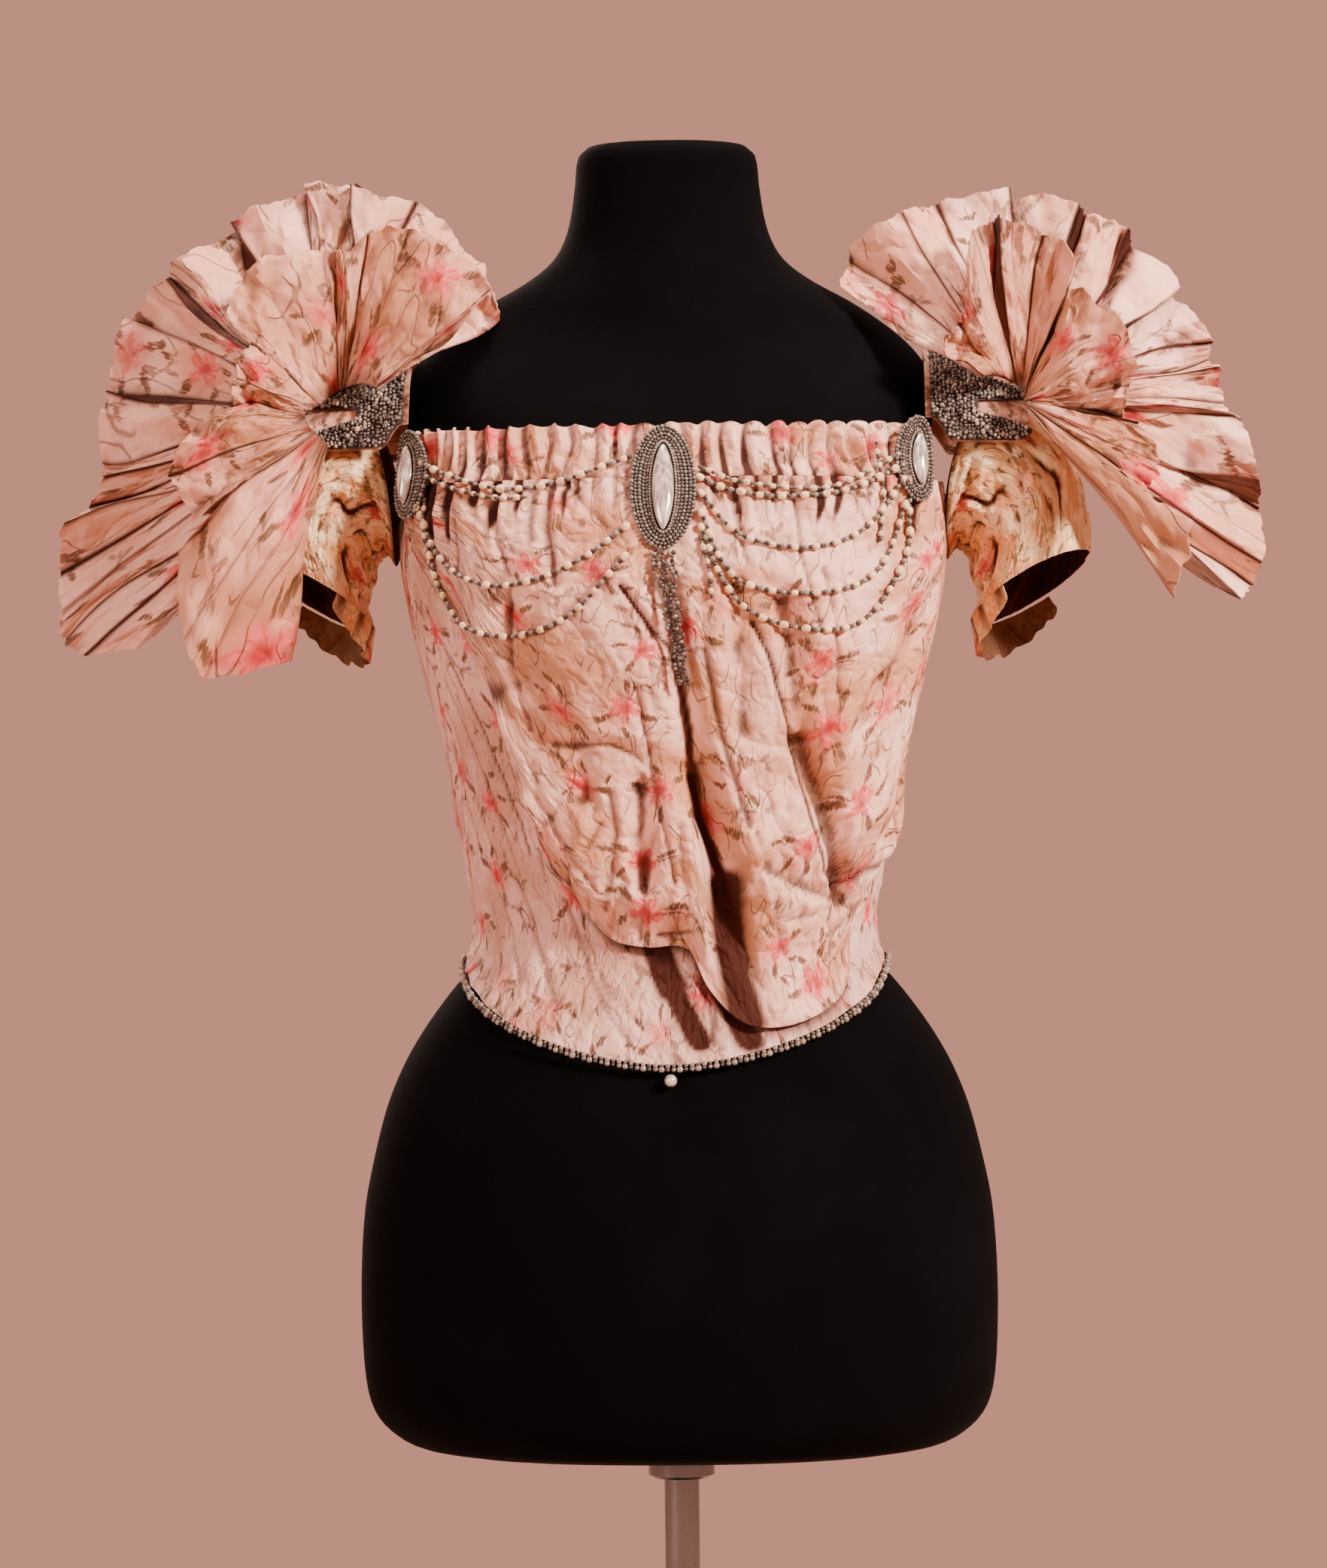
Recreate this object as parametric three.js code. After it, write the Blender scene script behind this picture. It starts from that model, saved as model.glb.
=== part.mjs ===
// An evening bodice of flowered silk, worn by a limbless dress form on a post and a round base.
// Millimetres, +Z up, the front faces -Y, and the origin is the middle of the underside of the base.
import * as THREE from "three";

// Driving sizes
const CLOTH = 1.5; // thickness of one cloth wall
const SEAM = 0.3; // gap between neighbouring pieces
const EASE = 3.4; // from the dress form to the inside of the bodice
const BASE = { radius: 150, bevel: 135, neck: 20, height: 12, rim: 3, shoulder: 6 };
const POST = { radius: 10, collar: 19, collarHeight: 16 };
const FORM_BOTTOM = 199;
const NECKLINE = { front: 778, back: 788, corner: 64, backCorner: 120 }; // heights, and angles
const ARMHOLE = { bottom: 706, middle: 92 };
const HEM = { point: 425, side: 483, back: 476, curve: 1.8 };
const HEADER = { bottom: 752, top: 783, stand: 5, wave: 3, below: 1.2 }; // the gathered heading
const DRAPE = { left: -64, right: 78, top: HEADER.bottom - HEADER.below, stand: 4.2, clear: 1.8 };
const STRAP = { inner: 146, outer: 204, centre: 770, start: 16, low: 2, from: 150, over: 12 };
const STRAP_DOME = { innerDepth: 60, outerDepth: 54.7, innerRise: 57, outerRise: 39.9 };
const FAN = { left: { x: 186, z: 789 }, right: { x: 200, z: 793 }, cloth: 2.2 };

// Fitted panels of each half, by angle from the centre front, and how finely each is divided.
const PANELS = [
  { name: "front", from: 0, to: 72, columns: 8, rows: 11 },
  { name: "side", from: 72, to: 112, columns: 6, rows: 10 },
  { name: "back", from: 112, to: 178.75, columns: 9, rows: 11 },
];
const PANEL_GAP = 0.15; // degrees left open at each edge of a panel

// Outline of the dress form: height, half width, and depth in front of and behind the post.
const FORM = [
  { z: 199, half: 128, front: 78, back: 82 },
  { z: 203, half: 150, front: 94, back: 98 },
  { z: 210, half: 164, front: 103, back: 108 },
  { z: 221, half: 174.5, front: 110, back: 115 },
  { z: 237, half: 180, front: 115, back: 120 },
  { z: 269, half: 182.5, front: 118.5, back: 125 },
  { z: 305, half: 182.5, front: 119.5, back: 127 },
  { z: 340, half: 180, front: 118, back: 126 },
  { z: 366, half: 175, front: 115, back: 122 },
  { z: 392, half: 168.5, front: 110, back: 116 },
  { z: 409, half: 162.5, front: 106, back: 111 },
  { z: 426, half: 154.5, front: 101, back: 105 },
  { z: 444, half: 143.5, front: 95.5, back: 98 },
  { z: 461, half: 131, front: 89.5, back: 90.5 },
  { z: 474, half: 120.5, front: 85, back: 84.5 },
  { z: 487, half: 113.5, front: 82.5, back: 80.5 },
  { z: 500, half: 111, front: 82, back: 79 },
  { z: 515, half: 112, front: 83, back: 79.5 },
  { z: 530, half: 114.8, front: 85, back: 81 },
  { z: 565, half: 121, front: 92, back: 87 },
  { z: 600, half: 126.5, front: 102, back: 93 },
  { z: 640, half: 136.5, front: 114, back: 99 },
  { z: 680, half: 146, front: 121, back: 103 },
  { z: 705, half: 150, front: 120, back: 105 },
  { z: 735, half: 151, front: 112, back: 106 },
  { z: 765, half: 148.5, front: 100, back: 104 },
  { z: 790, half: 151, front: 87, back: 99 },
  { z: 806, half: 152, front: 77, back: 91 },
  { z: 820, half: 147, front: 69, back: 81 },
  { z: 833, half: 136.5, front: 63, back: 71 },
  { z: 845, half: 122, front: 59.5, back: 62 },
  { z: 857, half: 104, front: 57.5, back: 55 },
  { z: 868, half: 84, front: 56, back: 49.5 },
  { z: 879, half: 69, front: 55, back: 47 },
  { z: 890, half: 61, front: 54, back: 46 },
  { z: 905, half: 56, front: 53, back: 45.5 },
  { z: 925, half: 53, front: 51.5, back: 44.5 },
  { z: 941, half: 51, front: 50, back: 43 },
  { z: 946, half: 46, front: 45, back: 38.5 },
];

// Lower edge of the loose front, by angle from the centre front.
const DRAPE_EDGE = [
  { angle: -64, z: 724 },
  { angle: -56, z: 702 },
  { angle: -48, z: 676 },
  { angle: -43, z: 654 },
  { angle: -38, z: 604 },
  { angle: -33, z: 550 },
  { angle: -27, z: 526 },
  { angle: -21, z: 506 },
  { angle: -15, z: 494 },
  { angle: -6, z: 490 },
  { angle: 5, z: 488 },
  { angle: 9, z: 467 },
  { angle: 15, z: 449 },
  { angle: 22, z: 445 },
  { angle: 32, z: 451 },
  { angle: 42, z: 464 },
  { angle: 50, z: 482 },
  { angle: 56, z: 510 },
  { angle: 62, z: 524 },
  { angle: 70, z: 537 },
  { angle: 78, z: 549 },
];

// How far the loose front stands off the fitted front, by height.
const DRAPE_FULLNESS = [
  { z: 440, off: 0 },
  { z: 485, off: 3 },
  { z: 515, off: 12 },
  { z: 550, off: 15 },
  { z: 600, off: 10 },
  { z: 660, off: 5 },
  { z: 700, off: 4 },
  { z: 751, off: 1.5 },
];

// The largest folds of the loose front: each runs from one angle and height to another.
const DRAPE_FOLDS = [
  { fromAngle: 0, fromZ: 690, toAngle: 6.3, toZ: 585, depth: 9, width: 6 },
  { fromAngle: 6.3, fromZ: 590, toAngle: 18.3, toZ: 458, depth: 13, width: 8 },
  { fromAngle: 23.5, fromZ: 684, toAngle: 29, toZ: 605, depth: 7, width: 6 },
  { fromAngle: 29, fromZ: 605, toAngle: 44.5, toZ: 516, depth: 12, width: 7 },
  { fromAngle: 14, fromZ: 690, toAngle: 17, toZ: 610, depth: 5, width: 6 },
  { fromAngle: -6, fromZ: 578, toAngle: -6.5, toZ: 524, depth: 9, width: 7 },
  { fromAngle: -11, fromZ: 528, toAngle: -14, toZ: 500, depth: 7, width: 7 },
  { fromAngle: -20, fromZ: 610, toAngle: -18, toZ: 572, depth: 5, width: 7 },
  { fromAngle: -33, fromZ: 690, toAngle: -29, toZ: 640, depth: 4, width: 8 },
  { fromAngle: 63, fromZ: 668, toAngle: 46, toZ: 614, depth: 5, width: 9 },
  { fromAngle: 23, fromZ: 534, toAngle: 50, toZ: 508, depth: 5, width: 7 },
  { fromAngle: 63, fromZ: 590, toAngle: 52, toZ: 524, depth: 7, width: 9 },
];

// Over how many millimetres or degrees the loose front closes down onto the fitted front, and the
// share of its fullness that stays there.
const DRAPE_HOLD = { edge: 28, left: 16, right: 24, armhole: 40, from: 52, over: 12, least: 0.12 };
const GATHERS = { depth: 1.1, apart: 4, from: 700, over: 40 }; // fine folds below the heading

// Pleats of the shoulder ruffles. Each row is one fold line, by its angle above the outward
// direction, with the distance of the rim from the middle of the ruffle, and how far the fold
// stands back (+) or forward (-) at the rim.
const RUFFLES = {
  left_outer: [
    { at: 146, rim: 108, lift: -4 },
    { at: 132, rim: 115, lift: 6 },
    { at: 118, rim: 126, lift: -8 },
    { at: 108, rim: 131, lift: 7 },
    { at: 97, rim: 136, lift: -9 },
    { at: 92, rim: 133, lift: 9 },
    { at: 84, rim: 139, lift: -8 },
    { at: 79, rim: 133, lift: 8 },
    { at: 64, rim: 135, lift: -9 },
    { at: 59, rim: 130, lift: 8 },
    { at: 47, rim: 134, lift: -6 },
    { at: 42, rim: 133, lift: 8 },
    { at: 37, rim: 131, lift: -8 },
    { at: 29, rim: 135, lift: 7 },
    { at: 24, rim: 137, lift: -9 },
    { at: 11, rim: 134, lift: 8 },
    { at: 7, rim: 137, lift: -8 },
    { at: -6, rim: 138, lift: 8 },
    { at: -10, rim: 141, lift: -9 },
    { at: -15, rim: 153, lift: 10 },
    { at: -20, rim: 170, lift: -10 },
    { at: -26, rim: 185, lift: 9 },
    { at: -31, rim: 196, lift: -10 },
    { at: -36, rim: 204, lift: 8 },
    { at: -41, rim: 202, lift: -8 },
    { at: -47, rim: 172, lift: 6 },
    { at: -53, rim: 140, lift: 0 },
  ],
  left_inner: [
    { at: 148, rim: 96, lift: -5 },
    { at: 141, rim: 112, lift: 4 },
    { at: 130, rim: 118, lift: -4 },
    { at: 112, rim: 112, lift: -7 },
    { at: 102, rim: 106, lift: 5 },
    { at: 97, rim: 92, lift: -6 },
    { at: 90, rim: 95, lift: 5 },
    { at: 84, rim: 96, lift: -6 },
    { at: 62, rim: 96, lift: -8 },
    { at: 44, rim: 80, lift: -4 },
    { at: 40, rim: 62, lift: 7 },
    { at: 24, rim: 56, lift: -6 },
    { at: 8, rim: 58, lift: 6 },
    { at: 0, rim: 74, lift: -7 },
    { at: -18, rim: 98, lift: -9 },
    { at: -30, rim: 96, lift: 6 },
    { at: -36, rim: 84, lift: 8 },
    { at: -42, rim: 112, lift: -8 },
    { at: -56, rim: 148, lift: -9 },
    { at: -66, rim: 164, lift: -6 },
    { at: -76, rim: 136, lift: 4 },
  ],
  right_outer: [
    { at: 148, rim: 124, lift: -4 },
    { at: 136, rim: 129, lift: 6 },
    { at: 122, rim: 131, lift: -8 },
    { at: 110, rim: 127, lift: 6 },
    { at: 95, rim: 125, lift: -9 },
    { at: 90, rim: 120, lift: 9 },
    { at: 76, rim: 121, lift: -8 },
    { at: 71, rim: 116, lift: 6 },
    { at: 56, rim: 118, lift: -8 },
    { at: 51, rim: 112, lift: 8 },
    { at: 38, rim: 112, lift: -7 },
    { at: 33, rim: 108, lift: 8 },
    { at: 20, rim: 112, lift: -8 },
    { at: 15, rim: 108, lift: 7 },
    { at: 8, rim: 112, lift: -7 },
    { at: 3, rim: 111, lift: 8 },
    { at: -4, rim: 116, lift: -8 },
    { at: -9, rim: 123, lift: 7 },
    { at: -18, rim: 141, lift: -9 },
    { at: -23, rim: 148, lift: 8 },
    { at: -31, rim: 161, lift: -8 },
    { at: -36, rim: 166, lift: 8 },
    { at: -43, rim: 165, lift: -6 },
    { at: -50, rim: 148, lift: 4 },
  ],
  right_inner: [
    { at: 146, rim: 52, lift: -4 },
    { at: 130, rim: 56, lift: 5 },
    { at: 118, rim: 60, lift: -6 },
    { at: 108, rim: 100, lift: -10 },
    { at: 102, rim: 104, lift: 9 },
    { at: 96, rim: 104, lift: -7 },
    { at: 84, rim: 94, lift: 4 },
    { at: 72, rim: 84, lift: -9 },
    { at: 66, rim: 70, lift: 8 },
    { at: 52, rim: 68, lift: -7 },
    { at: 30, rim: 68, lift: -9 },
    { at: 8, rim: 60, lift: -6 },
    { at: -6, rim: 54, lift: 8 },
    { at: -12, rim: 64, lift: -8 },
    { at: -26, rim: 82, lift: -9 },
    { at: -35, rim: 84, lift: 7 },
    { at: -39, rim: 116, lift: -9 },
    { at: -50, rim: 136, lift: -8 },
    { at: -57, rim: 140, lift: 2 },
  ],
};

// How far forward a ruffle stands, by the distance from its middle.
const RUFFLE_LEAN = {
  outer: [
    { from: 15, y: -66 },
    { from: 50, y: -66 },
    { from: 70, y: -62 },
    { from: 100, y: -46 },
    { from: 130, y: -28 },
    { from: 200, y: -4 },
  ],
  inner: [
    { from: 15, y: -75 },
    { from: 50, y: -80 },
    { from: 80, y: -82 },
    { from: 130, y: -76 },
    { from: 165, y: -66 },
  ],
};

// Rings of a short sleeve: the middle of each ring, its half depth and half height, how far its
// opening is turned down from straight outward, and how far its front and back reach inward
// round the armhole.
const SLEEVE = [
  { x: 167, z: 755, depth: 46, height: 46, turn: 10, wrap: 7 },
  { x: 176, z: 756, depth: 52, height: 45, turn: 16, wrap: 5 },
  { x: 190, z: 750, depth: 57, height: 44, turn: 28, wrap: 3 },
  { x: 202, z: 734, depth: 59, height: 44, turn: 42, wrap: 1 },
  { x: 207, z: 712, depth: 56, height: 41, turn: 54, wrap: 0 },
  { x: 206, z: 692, depth: 50, height: 38, turn: 62, wrap: 0 },
];
const SLEEVE_TILT = 0.2; // the back of a cuff hangs this much lower than its front
const SLEEVE_TUCKS = { depth: 1.6, count: 9, fade: 1.1 };
const CUFF_FRILL = { from: 160, to: 330, length: 20, ends: 0.35, flare: 4, wave: 2.2, waves: 7 };

const { degToRad: rad, lerp: mix, smoothstep } = THREE.MathUtils;
const smooth = (t) => smoothstep(t, 0, 1);

// One named column of a table, read at a place between its rows on a smooth curve.
function read(table, key, column, at) {
  const last = table.length - 1;
  if (at <= table[0][key]) return table[0][column];
  if (at >= table[last][key]) return table[last][column];
  let i = 0;
  while (at > table[i + 1][key]) i++;
  const slope = (row) => {
    const a = table[Math.max(row - 1, 0)];
    const b = table[Math.min(row + 1, last)];
    return (b[column] - a[column]) / (b[key] - a[key]);
  };
  const span = table[i + 1][key] - table[i][key];
  const t = (at - table[i][key]) / span;
  const bend = t * (1 - t);
  const between = mix(table[i][column], table[i + 1][column], t * t * (3 - 2 * t));
  return between + span * bend * ((1 - t) * slope(i) - t * slope(i + 1));
}

// Geometry from points and triangles, turned so that its faces point out.
function closed(points, index) {
  let volume = 0;
  const a = new THREE.Vector3();
  const b = new THREE.Vector3();
  const c = new THREE.Vector3();
  for (let i = 0; i < index.length; i += 3) {
    a.fromArray(points, 3 * index[i]);
    b.fromArray(points, 3 * index[i + 1]);
    c.fromArray(points, 3 * index[i + 2]);
    volume += a.dot(b.cross(c));
  }
  if (volume < 0) index.reverse();
  const geometry = new THREE.BufferGeometry();
  geometry.setAttribute("position", new THREE.Float32BufferAttribute(points, 3));
  geometry.setIndex(index);
  geometry.computeVertexNormals();
  return geometry;
}

// A wall between an outer and an inner face, each a function of how far across and how far up
// it is. A wall that goes around closes on itself.
function wall(columns, rows, outer, inner, around = false) {
  const points = [];
  const index = [];
  const across = around ? columns : columns + 1;
  const at = (face, i, j) => (face * (rows + 1) + j) * across + (i % across);
  const quad = (a, b, c, d) => index.push(a, b, c, a, c, d);
  for (const face of [outer, inner]) {
    for (let j = 0; j <= rows; j++) {
      for (let i = 0; i < across; i++) points.push(...face(i / columns, j / rows).toArray());
    }
  }
  for (let i = 0; i < columns; i++) {
    for (let j = 0; j < rows; j++) {
      quad(at(0, i, j), at(0, i + 1, j), at(0, i + 1, j + 1), at(0, i, j + 1));
      quad(at(1, i, j), at(1, i, j + 1), at(1, i + 1, j + 1), at(1, i + 1, j));
    }
    quad(at(0, i, 0), at(1, i, 0), at(1, i + 1, 0), at(0, i + 1, 0));
    quad(at(0, i, rows), at(0, i + 1, rows), at(1, i + 1, rows), at(1, i, rows));
  }
  for (let j = 0; j < rows && !around; j++) {
    quad(at(0, 0, j), at(0, 0, j + 1), at(1, 0, j + 1), at(1, 0, j));
    quad(at(0, columns, j), at(1, columns, j), at(1, columns, j + 1), at(0, columns, j + 1));
  }
  return closed(points, index);
}

// A solid through rings of points, closed by a flat face at each end.
function lofted(rings) {
  const around = rings[0].length;
  const points = rings.flat().flatMap((p) => p.toArray());
  const index = [];
  const at = (i, j) => j * around + (i % around);
  for (let j = 0; j + 1 < rings.length; j++) {
    for (let i = 0; i < around; i++) {
      index.push(at(i, j), at(i + 1, j), at(i + 1, j + 1));
      index.push(at(i, j), at(i + 1, j + 1), at(i, j + 1));
    }
  }
  for (let i = 1; i + 1 < around; i++) {
    index.push(at(0, 0), at(i + 1, 0), at(i, 0));
    index.push(at(0, rings.length - 1), at(i, rings.length - 1), at(i + 1, rings.length - 1));
  }
  return closed(points, index);
}

// A point at an angle from the centre front and a height, this far off the dress form.
const SQUARENESS = 2.3; // 2 is an ellipse, and more is squarer
function around(angle, z, off = 0) {
  const side = Math.sin(rad(angle));
  const fore = Math.cos(rad(angle));
  const bulge = (Math.abs(side) ** SQUARENESS + Math.abs(fore) ** SQUARENESS) ** (-1 / SQUARENESS);
  const half = read(FORM, "z", "half", z) + off;
  const depth = read(FORM, "z", fore > 0 ? "front" : "back", z) + off;
  return new THREE.Vector3(half * side * bulge, -depth * fore * bulge, z);
}

// Height of the hem and of the upper edge of the fitted bodice at an angle.
function hemAt(angle) {
  const side = Math.abs(Math.sin(rad(angle)));
  const low = Math.cos(rad(angle)) > 0 ? HEM.point : HEM.back;
  return mix(low, HEM.side, side ** HEM.curve);
}
function topAt(angle) {
  const from = Math.abs(angle);
  const { corner, backCorner, front, back } = NECKLINE;
  if (from < ARMHOLE.middle) {
    return mix(front, ARMHOLE.bottom, smooth((from - corner) / (ARMHOLE.middle - corner)));
  }
  return mix(ARMHOLE.bottom, back, smooth((from - ARMHOLE.middle) / (backCorner - ARMHOLE.middle)));
}

// Fitted panel of the bodice on one side, -1 or 1.
function fittedPanel(side, { from, to, columns, rows }) {
  const face = (off) => (u, v) => {
    const angle = side * mix(from + PANEL_GAP, to - PANEL_GAP, u);
    return around(angle, mix(hemAt(angle), topAt(angle), v), off);
  };
  return wall(columns, rows, face(EASE + CLOTH), face(EASE));
}

// How deep the folds of the loose front are at an angle and a height.
const DEGREE = 2.3; // about how many millimetres of cloth a degree is
function foldDepth(angle, z) {
  let deepest = 0;
  const here = new THREE.Vector3(angle * DEGREE, z, 0);
  for (const fold of DRAPE_FOLDS) {
    const from = new THREE.Vector3(fold.fromAngle * DEGREE, fold.fromZ, 0);
    const to = new THREE.Vector3(fold.toAngle * DEGREE, fold.toZ, 0);
    const nearest = new THREE.Line3(from, to).closestPointToPoint(here, true, new THREE.Vector3());
    const away = here.distanceTo(nearest) / fold.width;
    deepest = Math.max(deepest, fold.depth * Math.exp(-away * away));
  }
  return deepest;
}

// How far the loose front stands off the dress form.
function drapeOff(angle, z) {
  const base = EASE + CLOTH + DRAPE.clear;
  const edge = read(DRAPE_EDGE, "angle", "z", angle);
  const hold = (span, over) => smooth(span / over);
  const { left, right, armhole, from, over, least } = DRAPE_HOLD;
  const sides = hold(angle - DRAPE.left, left) * hold(DRAPE.right - angle, right);
  const side = mix(1, hold(topAt(angle) - z, armhole), hold(Math.abs(angle) - from, over));
  const held = hold(z - edge, DRAPE_HOLD.edge) * sides * side;
  const gather = GATHERS.depth * Math.cos((2 * Math.PI * angle) / GATHERS.apart);
  const gathers = gather * hold(z - GATHERS.from, GATHERS.over);
  const full = DRAPE.stand + read(DRAPE_FULLNESS, "z", "off", z) - foldDepth(angle, z);
  return base + Math.max(0, full * mix(least, 1, held) + gathers);
}
function looseFront() {
  const face = (off) => (u, v) => {
    const angle = mix(DRAPE.left, DRAPE.right, u);
    const top = Math.min(DRAPE.top, topAt(angle) - 1);
    const z = mix(read(DRAPE_EDGE, "angle", "z", angle), top, v);
    return around(angle, z, drapeOff(angle, z) + off);
  };
  return wall(52, 11, face(CLOTH), face(0));
}

// Gathered heading along the neckline between two angles, a frill of upright waves.
function heading(from, to, waves, bottom, top) {
  const face = (off) => (u, v) => {
    const angle = mix(from, to, u);
    const wave = HEADER.wave * Math.sin(2 * Math.PI * waves * u) * mix(0.55, 1, v);
    return around(angle, mix(bottom, top, v), EASE + CLOTH + HEADER.stand + wave + off);
  };
  return wall(waves * 4, 1, face(CLOTH), face(0));
}

// A point of a shoulder strap, which is a dome over the end of the shoulder. Side is -1 for the
// wearer's right, which is at -X, turn runs from the front, at 0, to the back, at 180.
function onStrap(side, x, turn, off) {
  const out = (x - STRAP.inner) / (STRAP.outer - STRAP.inner);
  const { innerDepth, outerDepth, innerRise, outerRise } = STRAP_DOME;
  const depth = mix(innerDepth, outerDepth, out) + off;
  const rise = mix(innerRise, outerRise, out) + off;
  return new THREE.Vector3(
    side * x,
    -depth * Math.cos(rad(turn)),
    STRAP.centre + rise * Math.sin(rad(turn)),
  );
}
// Turn at which a strap starts: it clears the plaque at its inner edge, and hangs lower beside it.
function strapStart(x) {
  return mix(STRAP.start, STRAP.low, smoothstep(x, STRAP.from, STRAP.from + STRAP.over));
}
function strap(side) {
  const face = (off) => (u, v) => {
    const x = mix(STRAP.inner, STRAP.outer, v);
    return onStrap(side, x, mix(strapStart(x), 180 - strapStart(x), u), off);
  };
  return wall(14, 8, face(CLOTH), face(0));
}

// Beaded braid on a strap: a band with two leaf-shaped arms on the front and two on the back,
// which point out towards the sleeve.
const BRAID = { inner: 149, band: 176, arm: 206, armHalf: 12, inset: 1, thick: 2.6 };
const ARMS = [10, 42, 138, 170]; // where the arms lie, by the turn over the shoulder
function braidEdge(turn) {
  const near = Math.min(...ARMS.map((at) => Math.abs(at - turn))) / BRAID.armHalf;
  return mix(BRAID.band, BRAID.arm, Math.max(0, 1 - near * near));
}
function braid(side) {
  const face = (off) => (u, v) => {
    const low = STRAP.low + BRAID.inset;
    const x = mix(BRAID.inner, braidEdge(mix(low, 180 - low, u)), v);
    const start = strapStart(x) + BRAID.inset;
    return onStrap(side, x, mix(start, 180 - start, u), CLOTH + 3 * SEAM + off);
  };
  return wall(30, 5, face(BRAID.thick), face(0));
}

// A point of a short sleeve: u goes around it from the front over the top, and v along it.
function onSleeve(side, u, v, off) {
  const row = v * (SLEEVE.length - 1);
  const rings = SLEEVE.map((ring, order) => ({ ...ring, order }));
  const ring = (column) => read(rings, "order", column, row);
  const turn = 2 * Math.PI * u;
  const { depth, count, fade } = SLEEVE_TUCKS;
  const tuck = depth * Math.sin(count * turn) * Math.sin(Math.PI * Math.min(1, v * fade));
  const y = -(ring("depth") + off + tuck) * Math.cos(turn);
  const rise = (ring("height") + off + tuck) * Math.sin(turn);
  const tip = rad(ring("turn"));
  return new THREE.Vector3(
    side * (ring("x") + rise * Math.sin(tip) - ring("wrap") * Math.cos(turn) ** 2),
    y,
    ring("z") + rise * Math.cos(tip) - SLEEVE_TILT * v * y,
  );
}
function sleeve(side) {
  const face = (off) => (u, v) => onSleeve(side, u, v, off);
  return wall(24, 5, face(CLOTH), face(0), true);
}

// Frill that hangs from the back and the underside of a sleeve's edge.
function cuffFrill(side) {
  const { from, to, length, flare, wave, waves } = CUFF_FRILL;
  const tip = rad(SLEEVE.at(-1).turn);
  const outward = new THREE.Vector3(side * Math.cos(tip), 0, -Math.sin(tip));
  const face = (off) => (u, v) => {
    const ripple = wave * v * Math.sin(2 * Math.PI * waves * u);
    const edge = onSleeve(side, mix(from, to, u) / 360, 1, off + ripple + v * flare);
    const short = mix(CUFF_FRILL.ends, 1, Math.sin(Math.PI * u) ** 0.5);
    return edge.addScaledVector(outward, SEAM * 2 + v * length * short);
  };
  return wall(waves * 4, 1, face(CLOTH), face(0));
}

// Where the gathering of a ruffle starts, around the braid, by the angle of the pleat, and how
// far back its upper pleats are sewn over the shoulder.
const RUFFLE_ROOT = { outward: 17, inward: 45, flat: 7 };
const RUFFLE_BACK = { from: 20, full: 80, until: 95, gone: 150, at: 30, rim: 9 };
function rootAt(at) {
  const { outward, inward, flat } = RUFFLE_ROOT;
  return mix(outward, inward, (1 - Math.cos(rad(at))) / 2) - flat * Math.abs(Math.sin(rad(at)));
}

// A pleated ruffle of the shoulder, in crisp flat folds that radiate from the braid.
function ruffle(name, side, layer) {
  const pleats = RUFFLES[name + "_" + layer];
  const middle = FAN[name];
  const face = (off) => (u, v) => {
    const fold = pleats[Math.round(u * (pleats.length - 1))];
    const reach = mix(rootAt(fold.at), fold.rim, v);
    const rising = smoothstep(fold.at, RUFFLE_BACK.from, RUFFLE_BACK.full);
    const falling = 1 - smoothstep(fold.at, RUFFLE_BACK.until, RUFFLE_BACK.gone);
    const back = rising * falling * mix(RUFFLE_BACK.at, RUFFLE_BACK.rim, v);
    return new THREE.Vector3(
      side * (middle.x + reach * Math.cos(rad(fold.at))),
      read(RUFFLE_LEAN[layer], "from", "y", reach) + back + fold.lift * v + off,
      middle.z + reach * Math.sin(rad(fold.at)),
    );
  };
  return wall(pleats.length - 1, 4, face(-FAN.cloth), face(0));
}

// Oval jewelled plaques on the neckline, with a pointed stone in the middle of each. They are
// drawn on the bodice at a stand-off and raised from there, by rings of their radius and rise.
const PLAQUES = {
  centre: { angle: 0, z: 745, width: 36, height: 70, stone: 12, stoneHeight: 48, off: 17 },
  left: { angle: -57.5, z: 757, width: 31, height: 51, stone: 10, stoneHeight: 33, off: 15 },
  right: { angle: 54.5, z: 762, width: 31, height: 49, stone: 10, stoneHeight: 29, off: 15.4 },
};
const PLAQUE_RINGS = [
  { radius: 0.4, rise: 0 },
  { radius: 1, rise: 0 },
  { radius: 1, rise: 1.4 },
  { radius: 0.8, rise: 2.6 },
  { radius: 0.4, rise: 2.8 },
];
const STONE_RINGS = [
  { radius: 0.4, rise: 3.3 },
  { radius: 1, rise: 3.3 },
  { radius: 0.9, rise: 5 },
  { radius: 0.6, rise: 7 },
  { radius: 0.2, rise: 8 },
];
function oval(place, width, height, rings, sides) {
  const before = around(place.angle - 0.5, place.z, place.off);
  const degree = around(place.angle + 0.5, place.z, place.off).distanceTo(before);
  const ring = ({ radius, rise }) =>
    Array.from({ length: sides }, (_, i) => {
      const turn = (2 * Math.PI * i) / sides;
      const aside = (radius * width * Math.cos(turn)) / 2;
      const up = (radius * height * Math.sin(turn)) / 2;
      return around(place.angle + aside / degree, place.z + up, place.off + rise);
    });
  return lofted(rings.map(ring));
}
const plaque = (place) => oval(place, place.width, place.height, PLAQUE_RINGS, 20);
const stone = (place) => oval(place, place.stone, place.stoneHeight, STONE_RINGS, 12);

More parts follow.
